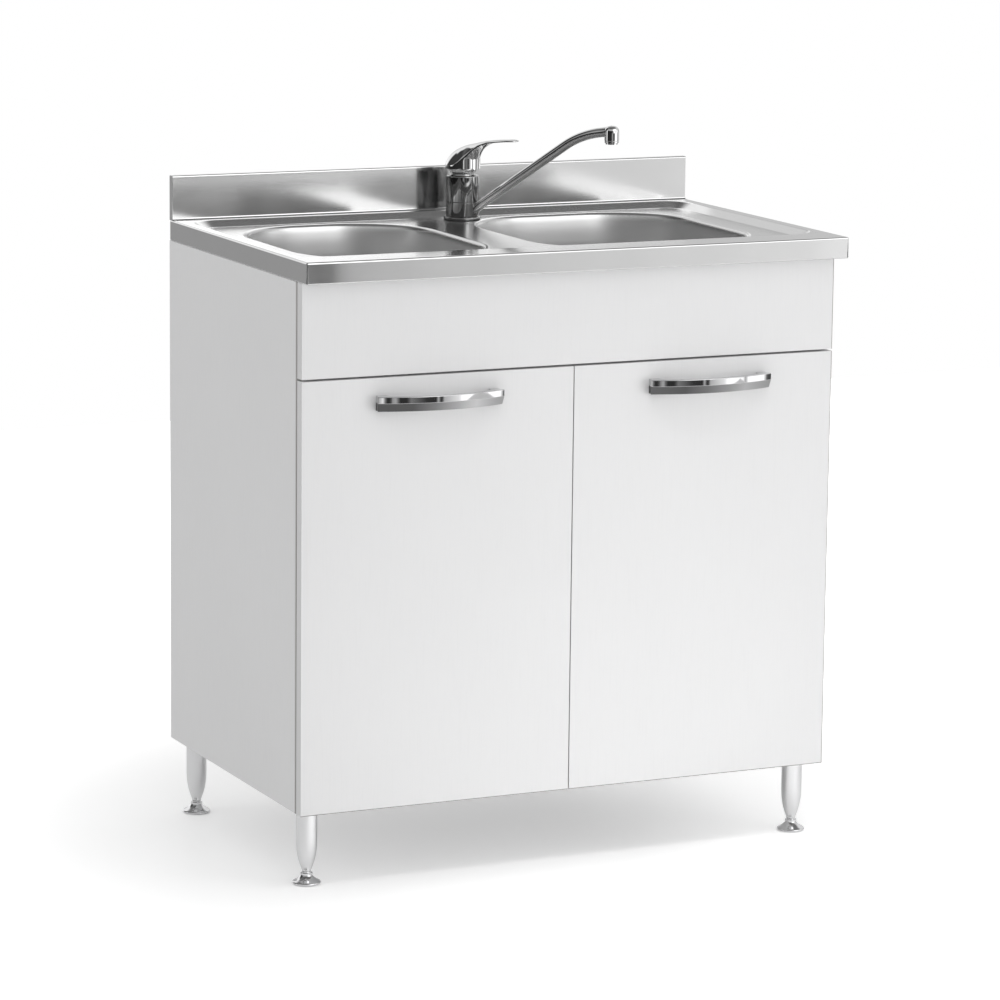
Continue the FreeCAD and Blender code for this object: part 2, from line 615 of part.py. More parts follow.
def drain_seal(x, y):
    low = BOWL_FLOOR - SHEET
    return turned(x, y, [(NUT_BORE, low - SEAL_THICKNESS), (DRAIN_FLANGE - 1, low - SEAL_THICKNESS),
                         (DRAIN_FLANGE - 1, low), (NUT_BORE, low)])


def drain_nut(x, y):
    low = BOWL_FLOOR - SHEET - SEAL_THICKNESS
    ring = turned(x, y, [(NUT_BORE, low - 10), (53, low - 10), (53, low), (NUT_BORE, low)])
    ribs = []
    for i in range(12):
        rib = box(x + 52, x + 56, y - 2, y + 2, low - 10, low)
        rib.rotate(V(x, y, 0), UP, i * 30)
        ribs.append(rib)
    return fuse([ring] + ribs)


def strainer(x, y):
    """Lift-out basket with a slotted floor, a plug on a short post below it and a knob."""
    seat = CUP_FLOOR + 3.2
    floor = seat + 7
    top = BOWL_FLOOR + 3.0
    basket = turned(x, y, [(0, floor), (36, floor), (40.4, top - 1.5), (41.2, top - 1.5),
                           (43.0, top), (39.8, top), (35.5, floor + 1.2), (0, floor + 1.2)])
    slots = []
    for ring_radius, count in ((14, 8), (22, 12), (30, 16)):
        for i in range(count):
            angle = 2 * math.pi * i / count
            slots.append(rod(x + ring_radius * math.cos(angle), y + ring_radius * math.sin(angle),
                             floor - 2, floor + 4, 2.2))
    plug = turned(x, y, [(0, seat), (21, seat), (24, seat + 1.2), (21, seat + 3), (5, seat + 3),
                         (5, floor), (0, floor)])
    knob = turned(x, y, [(0, floor + 1), (3, floor + 1), (3, floor + 21), (8, floor + 24),
                         (8, floor + 27), (4, floor + 29), (0, floor + 29)])
    return fuse([cut(basket, slots), plug, knob])


def drains():
    places = [bowl_centre(*LEFT_BOWL), bowl_centre(*RIGHT_BOWL)]
    for side, (x, y) in zip(("left", "right"), places):
        parts[side + "_drain"] = drain(x, y)
        parts[side + "_strainer"] = strainer(x, y)
    parts["drain_seals"] = group([drain_seal(x, y) for x, y in places])
    parts["drain_nuts"] = group([drain_nut(x, y) for x, y in places])


# ---------------------------------------------------------------- waste pipes and trap
MANIFOLD_Z = 560.0
PIPE_RADIUS = 20.0
SOCKET_RADIUS = 23.5
TRAP_X = -20.0
TRAP_RADIUS = 33.0
TRAP_TOP = 520.0
TRAP_BOTTOM = 415.0
OUTLET_Z = 496.0
OUTLET_END = BACK - 12.0
SPIGOT = 46.0                # free end of the outlet pipe, behind its stop ring


def waste_pipes():
    """Moulded pipe that joins both drains and leads down into the bottle trap."""
    y = bowl_centre(*LEFT_BOWL)[1]
    ends = [bowl_centre(*LEFT_BOWL)[0], bowl_centre(*RIGHT_BOWL)[0]]
    skins = []
    bores = []
    for radius, pieces in ((PIPE_RADIUS, skins), (PIPE_RADIUS - PIPE_WALL, bores)):
        pieces.append(rod_x(y, MANIFOLD_Z, ends[0], ends[1], radius))
        for x in ends:
            pieces.append(Part.makeSphere(radius, V(x, y, MANIFOLD_Z)))
            pieces.append(rod(x, y, MANIFOLD_Z, TAIL_BOTTOM - 6, radius))
        pieces.append(rod(TRAP_X, y, TRAP_TOP - 4, MANIFOLD_Z, radius))
    for x in ends:
        skins.append(rod(x, y, TAIL_BOTTOM - 16, TAIL_BOTTOM + 18, SOCKET_RADIUS))
        bores.append(rod(x, y, TAIL_BOTTOM - 6, TAIL_BOTTOM + 19, TAIL_RADIUS + 0.1))
    parts["waste_manifold"] = cut(fuse(skins), bores)
    head = fuse([rod(TRAP_X, y, TRAP_TOP - 48, TRAP_TOP, TRAP_RADIUS),
                 rod(TRAP_X, y, TRAP_TOP, TRAP_TOP + 14, SOCKET_RADIUS),
                 rod_y(TRAP_X, OUTLET_Z, y, y + TRAP_RADIUS + 22, SOCKET_RADIUS)])
    parts["trap_head"] = cut(head, [
        rod(TRAP_X, y, TRAP_TOP - 49, TRAP_TOP - 4, TRAP_RADIUS - PIPE_WALL),
        rod(TRAP_X, y, TRAP_TOP - 4, TRAP_TOP + 15, PIPE_RADIUS + 0.1),
        rod_y(TRAP_X, OUTLET_Z, y, y + TRAP_RADIUS + 23, PIPE_RADIUS + 0.1)])
    inner = TRAP_RADIUS - PIPE_WALL
    parts["trap_cup"] = turned(TRAP_X, y, [
        (0, TRAP_BOTTOM), (22, TRAP_BOTTOM), (TRAP_RADIUS - 4, TRAP_BOTTOM + 8),
        (TRAP_RADIUS, TRAP_BOTTOM + 30), (TRAP_RADIUS, TRAP_TOP - 48), (inner, TRAP_TOP - 48),
        (inner, TRAP_BOTTOM + 30), (TRAP_RADIUS - 6, TRAP_BOTTOM + 10), (0, TRAP_BOTTOM + 3)])
    stop = OUTLET_END - SPIGOT
    outlet = fuse([rod_y(TRAP_X, OUTLET_Z, y + TRAP_RADIUS + 4, OUTLET_END, PIPE_RADIUS),
                   rod_y(TRAP_X, OUTLET_Z, stop - 4, stop, SOCKET_RADIUS)])
    parts["waste_outlet_pipe"] = outlet.cut(
        rod_y(TRAP_X, OUTLET_Z, y, OUTLET_END + 1, PIPE_RADIUS - PIPE_WALL))
    nuts = [slip_nut(x, y, TAIL_BOTTOM - 2, UP) for x in ends]
    nuts.append(slip_nut(TRAP_X, y, TRAP_TOP + 2, UP))
    nuts.append(slip_nut(TRAP_X, y + TRAP_RADIUS + 8, OUTLET_Z, V(0, 1, 0)))
    parts["slip_nuts"] = group(nuts)


def slip_nut(x, y, z, axis):
    """Ribbed plastic nut round a pipe socket."""
    start = V(x, y, z)
    length = 13.0
    body = Part.makeCylinder(SOCKET_RADIUS + 4, length, start, axis)
    ribs = []
    for i in range(10):
        rib = Part.makeBox(4, 4, length, V(SOCKET_RADIUS + 2, -2, 0))
        rib.Placement = FreeCAD.Placement(start, FreeCAD.Rotation(UP, axis)).multiply(
            FreeCAD.Placement(V(0, 0, 0), FreeCAD.Rotation(UP, i * 36))).multiply(rib.Placement)
        ribs.append(rib)
    bore = Part.makeCylinder(SOCKET_RADIUS + 0.1, length, start, axis)
    return fuse([body] + ribs).cut(bore)


# ---------------------------------------------------------------- mixer tap
TAP_RADIUS = 23.5
BASE_RADIUS = 26.5
POST_RADIUS = 17.0
COLLAR_PLAY = 0.08
COLLAR_LOW = DECK + 5.0
COLLAR_HIGH = DECK + 25.6
BODY_TOP = DECK + 62.5
BALL_Z = DECK + 76.0         # centre about which the lever tilts
BALL_RADIUS = 20.0
CARTRIDGE_RADIUS = 16.2
SKIRT_LOW = DECK + 71.4
SKIRT_RADIUS = 24.8
SHANK_RADIUS = 16.5
SHANK_LOW = DECK - 58.0
INLET_RADIUS = 4.5
INLET_DEPTH = 14.0
INLET_X = 8.0                # each inlet to the tap's axis
SPOUT_TURN = -54.0           # spout's direction, from +X towards the front
LEVER_TURN = -60.0
SPOUT_RADIUS = 6.7
OUTLET_REACH = 237.0
OUTLET_RADIUS = 10.2
OUTLET_LOW = DECK + 122.0
SPOUT_CLIMB = 34.3           # degrees above level, along the straight of the spout
SPOUT_STRAIGHT = 175.0
SPOUT_LEVEL = 9.0            # degrees above level, at the outlet
SPOUT_BEND = 130.0


def tap_turned(profile):
    return turned(TAP_X, TAP_Y, profile)


def swung(shape, degrees):
    """Turn a piece drawn along +X about the tap's axis."""
    shape.rotate(V(TAP_X, TAP_Y, 0), UP, degrees)
    return shape


def tap_body():
    body = tap_turned([
        (0, SHANK_LOW), (SHANK_RADIUS, SHANK_LOW), (SHANK_RADIUS, DECK + 1), (BASE_RADIUS, DECK + 1),
        (BASE_RADIUS, DECK + 3.4), (BASE_RADIUS - 1.6, DECK + 4.8), (POST_RADIUS, DECK + 4.8),
        (POST_RADIUS, COLLAR_HIGH + 0.2), (TAP_RADIUS, COLLAR_HIGH + 0.2), (TAP_RADIUS, BODY_TOP - 1.5),
        (TAP_RADIUS - 1.5, BODY_TOP), (CARTRIDGE_RADIUS + 0.3, BODY_TOP),
        (CARTRIDGE_RADIUS + 0.3, BODY_TOP - 26), (0, BODY_TOP - 26)])
    inlets = [rod(TAP_X + side * INLET_X, TAP_Y, SHANK_LOW - 1, SHANK_LOW + INLET_DEPTH, INLET_RADIUS)
              for side in (-1, 1)]
    parts["tap_body"] = cut(body, inlets)
    parts["tap_gasket"] = tap_turned([(SHANK_RADIUS + 0.1, DECK), (BASE_RADIUS - 1, DECK),
                                      (BASE_RADIUS - 1, DECK + 1), (SHANK_RADIUS + 0.1, DECK + 1)])
    under = DECK - SHEET
    parts["tap_washer"] = tap_turned([(SHANK_RADIUS + 0.3, under - 3), (24, under - 3), (24, under),
                                      (SHANK_RADIUS + 0.3, under)])
    nut = Part.Face(Part.makePolygon([V(TAP_X + 23 * math.cos(math.radians(60 * i)),
                                        TAP_Y + 23 * math.sin(math.radians(60 * i)), under - 13)
                                      for i in range(7)])).extrude(V(0, 0, 10))
    parts["tap_lock_nut"] = nut.cut(rod(TAP_X, TAP_Y, under - 14, under, SHANK_RADIUS + 0.1))
    parts["tap_cartridge"] = rod(TAP_X, TAP_Y, BODY_TOP - 26, BODY_TOP - 0.4, CARTRIDGE_RADIUS)
    parts["tap_ball_cap"] = ball_cap()


def ball_cap():
    """Rounded cap over the cartridge; the lever's skirt slides over it."""
    ball = Part.makeSphere(BALL_RADIUS, V(TAP_X, TAP_Y, BALL_Z))
    shell = ball.cut(Part.makeSphere(BALL_RADIUS - 2, V(TAP_X, TAP_Y, BALL_Z)))
    keep = rod(TAP_X, TAP_Y, BODY_TOP + 0.8, BALL_Z + 12, BALL_RADIUS + 1)
    ring = tap_turned([(13.6, BODY_TOP), (19, BODY_TOP), (19, BODY_TOP + 0.8), (17, BODY_TOP + 1.8),
                       (13.6, BODY_TOP + 1.8)])
    return fuse([shell.common(keep), ring])


def tap_spout():
    """Swivel collar with a slim tube that climbs, bends level and ends over the outlet."""
    collar = tap_turned([(POST_RADIUS + COLLAR_PLAY, COLLAR_LOW), (TAP_RADIUS, COLLAR_LOW),
                         (TAP_RADIUS, COLLAR_HIGH), (POST_RADIUS + COLLAR_PLAY, COLLAR_HIGH)])
    climb = math.radians(SPOUT_CLIMB)
    level = math.radians(SPOUT_LEVEL)
    start = V(TAP_X + 19, TAP_Y, DECK + 15.2)
    rising = V(math.cos(climb), 0, math.sin(climb))
    onward = V(math.cos(level), 0, math.sin(level))
    foot_of_bend = start + rising * SPOUT_STRAIGHT
    centre = foot_of_bend + V(math.sin(climb), 0, -math.cos(climb)) * SPOUT_BEND
    top_of_bend = centre + V(-math.sin(level), 0, math.cos(level)) * SPOUT_BEND
    run = (TAP_X + OUTLET_REACH - top_of_bend.x) / math.cos(level)
    end = top_of_bend + onward * run
    section = Part.Face(Part.Wire([Part.makeCircle(SPOUT_RADIUS, foot_of_bend, rising)]))
    tube = fuse([Part.makeCylinder(SPOUT_RADIUS, SPOUT_STRAIGHT, start, rising),
                 section.revolve(centre, V(0, 1, 0), math.degrees(climb - level)),
                 Part.makeCylinder(SPOUT_RADIUS, run, top_of_bend, onward)])
    nose = Part.makeSphere(OUTLET_RADIUS, V(end.x, TAP_Y, end.z - 2.5))
    barrel = rod(end.x, TAP_Y, OUTLET_LOW + 3, end.z - 2.5, OUTLET_RADIUS)
    spout = fuse([collar, tube, nose, barrel])
    spout = spout.cut(rod(end.x, TAP_Y, OUTLET_LOW, OUTLET_LOW + 9, OUTLET_RADIUS - 1.6))
    spout = spout.cut(rod(TAP_X, TAP_Y, COLLAR_LOW, COLLAR_HIGH, POST_RADIUS + COLLAR_PLAY))
    spout = spout.cut(rod(TAP_X, TAP_Y, COLLAR_HIGH, BODY_TOP, TAP_RADIUS + 0.15))
    parts["tap_spout"] = swung(spout, SPOUT_TURN)
    lip = OUTLET_RADIUS - 0.3
    insert = OUTLET_RADIUS - 1.7
    aerator = turned(end.x, TAP_Y, [
        (0, OUTLET_LOW + 2), (7, OUTLET_LOW + 2), (7, OUTLET_LOW), (lip, OUTLET_LOW), (lip, OUTLET_LOW + 3),
        (insert, OUTLET_LOW + 3), (insert, OUTLET_LOW + 8.8), (0, OUTLET_LOW + 8.8)])
    parts["tap_aerator"] = swung(aerator, SPOUT_TURN)


STEM_HALF = 3.5
LEVER_PIN_RADIUS = 1.5
LEVER_PIN_HALF = 8.0
EAR = 3.0


def tap_lever():
    """Stem in the cartridge, cross pin, and the hollow lever that turns and tilts on them."""
    disc_low = BODY_TOP - 0.1
    stem = fuse([rod(TAP_X, TAP_Y, disc_low, disc_low + 3, 9.0),
                 box(TAP_X - STEM_HALF, TAP_X + STEM_HALF, TAP_Y - STEM_HALF, TAP_Y + STEM_HALF,
                     disc_low + 3, BALL_Z),
                 rod_y(TAP_X, BALL_Z, TAP_Y - STEM_HALF, TAP_Y + STEM_HALF, STEM_HALF)])
    stem = stem.cut(rod_y(TAP_X, BALL_Z, TAP_Y - STEM_HALF, TAP_Y + STEM_HALF, LEVER_PIN_RADIUS + 0.05))
    parts["tap_lever_stem"] = swung(stem, LEVER_TURN)
    pin = rod_y(TAP_X, BALL_Z, TAP_Y - LEVER_PIN_HALF, TAP_Y + LEVER_PIN_HALF, LEVER_PIN_RADIUS)
    parts["tap_lever_pin"] = swung(pin, LEVER_TURN)

    # side view of the lever: it rises from the back of the skirt and runs out to the handle
    outline = [(-24.8, 71.4), (-24.8, 78), (-22.3, 84), (-14.5, 95), (3, 104.2), (23, 109.5),
               (40, 113.6), (60, 116.7), (77, 118.3), (92, 118.6), (94, 117.2), (92, 115.4),
               (77, 114.8), (60, 112.8), (44, 109.0), (33, 102.5), (27.5, 95.5), (24.8, 88), (24.8, 71.4)]
    view = polygon([V(TAP_X + along, TAP_Y - 30, DECK + height) for along, height in outline])
    side_view = view.extrude(V(0, 60, 0))
    cap = rod(TAP_X, TAP_Y, DECK + 60, DECK + 130, SKIRT_RADIUS)
    half_plan = [(0, 24.8), (8, 23.4), (16, 18.9), (24, 14.8), (34, 11.8), (48, 10.2), (84, 10)]
    rim = half_plan + [(along, -across) for along, across in reversed(half_plan)]
    plan = polygon([V(TAP_X + along, TAP_Y + across, DECK + 60) for along, across in rim])
    blade = plan.extrude(V(0, 0, 70))
    tip = rod(TAP_X + 84, TAP_Y, DECK + 60, DECK + 130, 10.0)
    lever = side_view.common(fuse([cap, blade, tip]))
    lever = lever.cut(Part.makeSphere(BALL_RADIUS + 0.4, V(TAP_X, TAP_Y, BALL_Z)))
    lever = lever.cut(rod(TAP_X, TAP_Y, DECK + 60, BALL_Z + 4, SKIRT_RADIUS - 2))
    ears = []
    for side in (-1, 1):
        y0 = TAP_Y + side * (STEM_HALF + 0.4 + EAR / 2)
        ear = fuse([rod_y(TAP_X, BALL_Z, y0 - EAR / 2, y0 + EAR / 2, 4.0),
                    box(TAP_X - 4, TAP_X + 4, y0 - EAR / 2, y0 + EAR / 2, BALL_Z, BALL_Z + 24)])
        ears.append(ear)
    lever = fuse([lever] + ears)
    lever = lever.cut(rod_y(TAP_X, BALL_Z, TAP_Y - 20, TAP_Y + 20, LEVER_PIN_RADIUS + 0.02))
    parts["tap_lever"] = swung(lever, LEVER_TURN)


# ---------------------------------------------------------------- build and export
carcass()
fascia()
doors()
hinges()
legs()
sink()
sink_clips()
drains()
waste_pipes()
tap_body()
tap_spout()
tap_lever()

os.makedirs("parts", exist_ok=True)
for name, shape in parts.items():
    shape.exportStep(os.path.join("parts", name + ".step"))
    solids = shape.Solids
    print(name, len(solids), "valid" if shape.isValid() else "INVALID",
          round(sum(s.Volume for s in solids) / 1000, 1), "cm3")
print(len(parts), "nodes")
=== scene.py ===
import json

import bmesh
import bpy
import numpy as np
from mathutils import Matrix, Vector

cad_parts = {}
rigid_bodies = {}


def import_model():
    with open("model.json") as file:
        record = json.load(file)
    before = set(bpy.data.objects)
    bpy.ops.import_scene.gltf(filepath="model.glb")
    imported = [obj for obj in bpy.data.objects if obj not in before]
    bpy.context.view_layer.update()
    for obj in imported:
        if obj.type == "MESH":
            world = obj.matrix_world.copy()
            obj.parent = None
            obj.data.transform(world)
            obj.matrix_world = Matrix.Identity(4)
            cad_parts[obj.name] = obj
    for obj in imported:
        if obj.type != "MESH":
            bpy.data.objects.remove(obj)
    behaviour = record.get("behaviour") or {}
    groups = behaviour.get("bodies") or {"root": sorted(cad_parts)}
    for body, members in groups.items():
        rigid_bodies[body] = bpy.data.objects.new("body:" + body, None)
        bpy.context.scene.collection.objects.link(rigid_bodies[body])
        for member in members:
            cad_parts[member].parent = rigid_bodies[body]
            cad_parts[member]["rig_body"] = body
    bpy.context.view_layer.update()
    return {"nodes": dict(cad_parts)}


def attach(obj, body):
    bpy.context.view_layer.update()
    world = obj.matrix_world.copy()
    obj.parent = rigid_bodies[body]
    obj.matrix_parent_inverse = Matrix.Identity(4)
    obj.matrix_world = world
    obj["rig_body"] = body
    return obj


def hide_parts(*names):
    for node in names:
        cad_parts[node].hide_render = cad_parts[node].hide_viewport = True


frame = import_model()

nodes = frame["nodes"]


# ------------------------------------------------------------------ studio
# A white floor that keeps the soft shadow, even light from all sides, four lamps with the
# largest low on the right, and a room that only polished metal sees.

CAMERA_PLACE = (-2.5220, -5.3914, 1.5628)
CAMERA_TURN, CAMERA_DIP, CAMERA_ROLL, CAMERA_LENS = 24.99, 10.47, 0.64, 156.70
FLOOR_REACH = 3400.0
FLOOR_NEAR, FLOOR_FAR, FLOOR_GLOW = 0.45, 1.35, 0.23
# painted light on the floor's right-hand side, seen by the camera only
FLOOR_RIGHT_PAINTED_LIGHT, FLOOR_RIGHT_FROM, FLOOR_RIGHT_TO = 0.15, 0.05, 0.40
ROOM_LIGHT = 0.73
SCREEN = 2.2                 # brightness of the bright screen, where white is 1
# the room's walls in four heights: (turn, brightness), where the turn 0 is the front, 0.25 the
# left, 0.5 the far wall and 0.75 the right
LOW_WALLS = [(0, 0.25), (0.006, 0.04), (0.022, 0.04), (0.026, 0.55), (0.032, 0.45), (0.036, 0.04),
             (0.046, 0.04), (0.050, 1.2), (0.057, 0.6), (0.065, 0.03), (0.275, 0.02), (0.285, 1.4),
             (0.31, 1.4), (0.32, 0.05), (0.40, 0.35), (0.60, 0.45), (0.77, 0.8), (0.785, 0.1),
             (0.808, 0.1), (0.817, 1.7), (0.857, 1.7), (0.8615, 0.15), (0.868, 1.7), (0.903, 1.7),
             (0.908, 1.15), (0.9385, 0.6), (0.9395, 0.06), (0.946, 0.06), (0.949, 0.65),
             (0.953, 0.04), (0.972, 0.05), (1, 0.25)]
HIGH_WALLS = [(0, 0.6), (0.03, 0.12), (0.05, 0.02), (0.275, 0.02), (0.285, 1.6), (0.31, 1.6),
              (0.32, 0.05), (0.42, 0.06), (0.44, 1.2), (0.50, 1.2), (0.53, 0.55), (0.563, 1.2),
              (0.575, 0.6), (0.66, 0.85), (0.68, 0.15), (0.70, 0.7), (0.73, 0.2), (0.77, 1.2),
              (0.785, 0.1), (0.80, 1.5), (0.85, 1.5), (0.865, 0.2), (0.88, 1.0), (0.928, 1.0),
              (0.938, 2.0), (0.975, 2.0), (1, 0.6)]
TALL_WALLS = [(0, 1.0), (0.06, 0.55), (0.25, 0.45), (0.32, 0.05), (0.42, 0.05), (0.44, 1.0),
              (0.50, 0.9), (0.55, 0.6), (0.66, 0.8), (0.75, 0.6), (0.86, 1.0), (0.88, 2.0),
              (0.975, 2.0), (1, 1.0)]
CEILING = [(0, 0.14), (0.25, 0.12), (0.5, 0.22), (0.75, 0.16), (0.90, 0.22), (1, 0.14)]


def skin(name, patches, sheet=False):
    """Mesh from patches of points in millimetres. A patch is (points, rows_close, columns_close):
    points on a rows x columns grid, where each four neighbours make a face, and a direction
    that closes joins its last line to its first. Points that meet are merged."""
    places, faces, start = [], [], 0
    for points, rows_close, columns_close in patches:
        points = np.asarray(points, float)
        index = np.arange(points.shape[0] * points.shape[1]).reshape(points.shape[:2]) + start
        if rows_close:
            index = np.vstack([index, index[:1]])
        if columns_close:
            index = np.hstack([index, index[:, :1]])
        quads = [index[:-1, :-1], index[:-1, 1:], index[1:, 1:], index[1:, :-1]]
        faces.append(np.stack(quads, -1).reshape(-1, 4))
        places.append(points.reshape(-1, 3) / 1000)
        start += len(places[-1])
    mesh = bpy.data.meshes.new(name)
    mesh.from_pydata(np.vstack(places).tolist(), [], np.vstack(faces).tolist())
    work = bmesh.new()
    work.from_mesh(mesh)
    bmesh.ops.remove_doubles(work, verts=work.verts, dist=2e-6)
    if not sheet:
        bmesh.ops.recalc_face_normals(work, faces=work.faces)
    work.to_mesh(mesh)
    work.free()
    mesh.shade_smooth()
    piece = bpy.data.objects.new(name, mesh)
    bpy.context.scene.collection.objects.link(piece)
    return piece


def material(name, colour, roughness, metallic=0.0, **sockets):
    """Node material with one Principled shader; colour is grey where one number is given."""
    made = bpy.data.materials.new(name)
    made.use_nodes = True
    shader = made.node_tree.nodes["Principled BSDF"]
    rgb = colour if isinstance(colour, tuple) else (colour,) * 3
    shader.inputs["Base Color"].default_value = (*rgb, 1)
    shader.inputs["Roughness"].default_value = roughness
    shader.inputs["Metallic"].default_value = metallic
    for socket, value in sockets.items():
        shader.inputs[socket.replace("_", " ")].default_value = value
    return made


def node(tree, kind, values=(), **settings):
    """Adds a shader node. Values fill its first inputs, or those that a dict names, and a value
    that is another node's socket is linked."""
    made = tree.nodes.new("ShaderNode" + kind)
    for key, value in settings.items():
        setattr(made, key, value)
    for place, value in (values.items() if isinstance(values, dict) else enumerate(values)):
        if isinstance(value, bpy.types.NodeSocket):
            tree.links.new(value, made.inputs[place])
        elif value is not None:
            made.inputs[place].default_value = value
    return made


def ramp(tree, factor, stops):
    """Colour ramp through grey stops, each (place, grey)."""
    made = node(tree, "ValToRGB", [factor])
    made.color_ramp.elements[0].position, made.color_ramp.elements[-1].position = 0, 1
    for place, _ in stops[1:-1]:
        made.color_ramp.elements.new(place)
    for element, (place, grey) in zip(made.color_ramp.elements, stops):
        element.position = place
        element.color = (grey, grey, grey, 1)
    return made.outputs["Color"]


def place_in(tree):
    return node(tree, "TexCoord").outputs["Object"]


def maths(tree, kind, *values):
    return node(tree, "Math", values, operation=kind).outputs[0]


def vectors(tree, kind, *values):
    return node(tree, "VectorMath", values, operation=kind).outputs[0]


def ranged(tree, value, low, high, first, last):
    """Goes from first to last while the value goes from low to high."""
    return node(tree, "MapRange", [value, low, high, first, last]).outputs[0]


def noise(tree, place, scale, detail, roughness):
    return node(tree, "TexNoise", [place, None, scale, detail, roughness]).outputs["Fac"]


def bumped(tree, height, distance, strength=1.0, **settings):
    """Normals of a relief of that height pattern, distance metres deep."""
    values = {"Strength": strength, "Distance": distance, "Height": height}
    return node(tree, "Bump", values, **settings).outputs["Normal"]


def feed(paint, **sources):
    """Links each source to the paint's shader input of that name, where _ stands for a space."""
    shader = paint.node_tree.nodes["Principled BSDF"]
    for name, source in sources.items():
        paint.node_tree.links.new(source, shader.inputs[name.replace("_", " ")])


def add_camera():
    data = bpy.data.cameras.new("camera")
    data.lens, data.sensor_width = CAMERA_LENS, 36
    camera = bpy.data.objects.new("camera", data)
    turn = Matrix.Rotation(np.radians(-CAMERA_TURN), 4, "Z")
    dip = Matrix.Rotation(np.radians(90 - CAMERA_DIP), 4, "X")
    roll = Matrix.Rotation(np.radians(CAMERA_ROLL), 4, "Z")
    camera.matrix_world = Matrix.Translation(CAMERA_PLACE) @ turn @ dip @ roll
    bpy.context.scene.collection.objects.link(camera)
    bpy.context.scene.camera = camera


def add_floor():
    """White floor; to the camera it goes over to plain white as it leaves the unit, and a painted
    pool of light brightens it towards the right.
    """
    x, y = np.meshgrid(np.linspace(-1, 1, 3) * FLOOR_REACH, np.linspace(-1, 1, 3) * FLOOR_REACH)
    floor = skin("floor", [(np.stack([x, y, 0 * x - 0.2], -1), False, False)], sheet=True)
    paint = material("floor_paint", 0.92, 0.5, Emission_Color=(1, 1, 1, 1))
    tree = paint.node_tree
    seen = node(tree, "LightPath").outputs["Is Camera Ray"]
    away = node(tree, "VectorMath", [place_in(tree)], operation="LENGTH")
    share = node(tree, "MapRange", [away.outputs["Value"], FLOOR_NEAR, FLOOR_FAR, FLOOR_GLOW, 1.0],
                 interpolation_type="SMOOTHSTEP").outputs[0]
    # painted light: to the camera the floor is brightened further towards the right, as if lit from
    # that side
    across = node(tree, "SeparateXYZ", [place_in(tree)]).outputs["X"]
    painted_light = node(tree, "MapRange", [across, FLOOR_RIGHT_FROM, FLOOR_RIGHT_TO, 0.0, FLOOR_RIGHT_PAINTED_LIGHT],
                    interpolation_type="SMOOTHSTEP")
    share = maths(tree, "ADD", share, painted_light.outputs[0])
    glow = maths(tree, "MULTIPLY", seen, share)
    feed(paint, Emission_Strength=glow)
    floor.data.materials.append(paint)


def add_room():
    """World: white to the camera, even to all that is matt. Polished metal sees a studio: a
    bright screen in front on the right, black cloth behind the camera, grey walls elsewhere."""
    world = bpy.data.worlds.new("room")
    bpy.context.scene.world = world
    world.use_nodes = True
    tree = world.node_tree
    tree.nodes.clear()
    way = node(tree, "SeparateXYZ", [node(tree, "TexCoord").outputs["Generated"]])
    across, depth, height = way.outputs
    swing = maths(tree, "ARCTAN2", across, depth)
    turn = ranged(tree, swing, -np.pi, np.pi, 0.0, 1.0)
    seen = None
    bands = ((LOW_WALLS, None), (HIGH_WALLS, (-0.08, 0.03)), (TALL_WALLS, (0.20, 0.30)),
             (CEILING, (0.64, 0.78)))
    for stops, rise in bands:
        band = ramp(tree, turn, [(place, grey / SCREEN) for place, grey in stops])
        if rise:
            share = ranged(tree, height, *rise, 0.0, 1.0)
            band = node(tree, "Mix", {0: share, 6: seen, 7: band}, data_type="RGBA").outputs[2]
        seen = band
    path = node(tree, "LightPath").outputs
    even = node(tree, "Background", [(1, 1, 1, 1), ROOM_LIGHT]).outputs[0]
    metal = node(tree, "Background", [seen, SCREEN]).outputs[0]
    white = node(tree, "Background", [(1, 1, 1, 1), 1.0]).outputs[0]
    first = node(tree, "MixShader", [path["Is Glossy Ray"], even, metal]).outputs[0]
    last = node(tree, "MixShader", [path["Is Camera Ray"], first, white]).outputs[0]
    tree.links.new(last, node(tree, "OutputWorld").inputs["Surface"])


def add_lamp(name, place, aim, size, watts, spread=180):
    data = bpy.data.lights.new(name, "AREA")
    data.shape, data.size, data.energy, data.spread = "SQUARE", size, watts, np.radians(spread)
    lamp = bpy.data.objects.new(name, data)
    lamp.location = place
    lamp.rotation_euler = (Vector(aim) - Vector(place)).to_track_quat("-Z", "Y").to_euler()
    lamp.visible_glossy = False
    bpy.context.scene.collection.objects.link(lamp)


bpy.context.scene.view_settings.view_transform = "Standard"
add_camera()
add_floor()
add_room()
add_lamp("front_lamp", (2.1, -2.4, 0.35), (0.25, 0, 0.10), 1.6, 20.0)
add_lamp("top_lamp", (-0.6, -1.9, 2.9), (0, -0.2, 0.5), 1.4, 5.0)
add_lamp("left_lamp", (-3.0, 0.3, 2.3), (-0.4, 0, 0.8), 1.4, 6.5)
add_lamp("floor_lamp", (0.1, -0.85, 1.6), (0.1, -0.851, 0), 0.5, 2.3, 58)


# ------------------------------------------------------------------ carcass boards
# White melamine-faced chipboard, 16 mm thick, with a faint upright pore pressed into the
# face, and a 3 mm back board in a groove. Saw-cut edges are lipped and very slightly rounded.

BOARD_WHITE, FRONT_WHITE = 0.74, 0.80
LIPPING = 0.7
# widths of the painted shade: a hair along the fronts' edges, and a band on the outer sides
SHADE_LINE, SHADE_BAND = 0.0011, 0.0030
PORE_DEPTH = 0.00003


def number_group(name, entries, exits):
    """New node group with number inputs, a dict of names and values, and number outputs."""
    group = bpy.data.node_groups.new(name, "ShaderNodeTree")
    for title, value in entries.items():
        socket = group.interface.new_socket(title, in_out="INPUT", socket_type="NodeSocketFloat")
        socket.default_value = value
    for title in exits:
        group.interface.new_socket(title, in_out="OUTPUT", socket_type="NodeSocketFloat")
    return group, group.nodes.new("NodeGroupInput"), group.nodes.new("NodeGroupOutput")


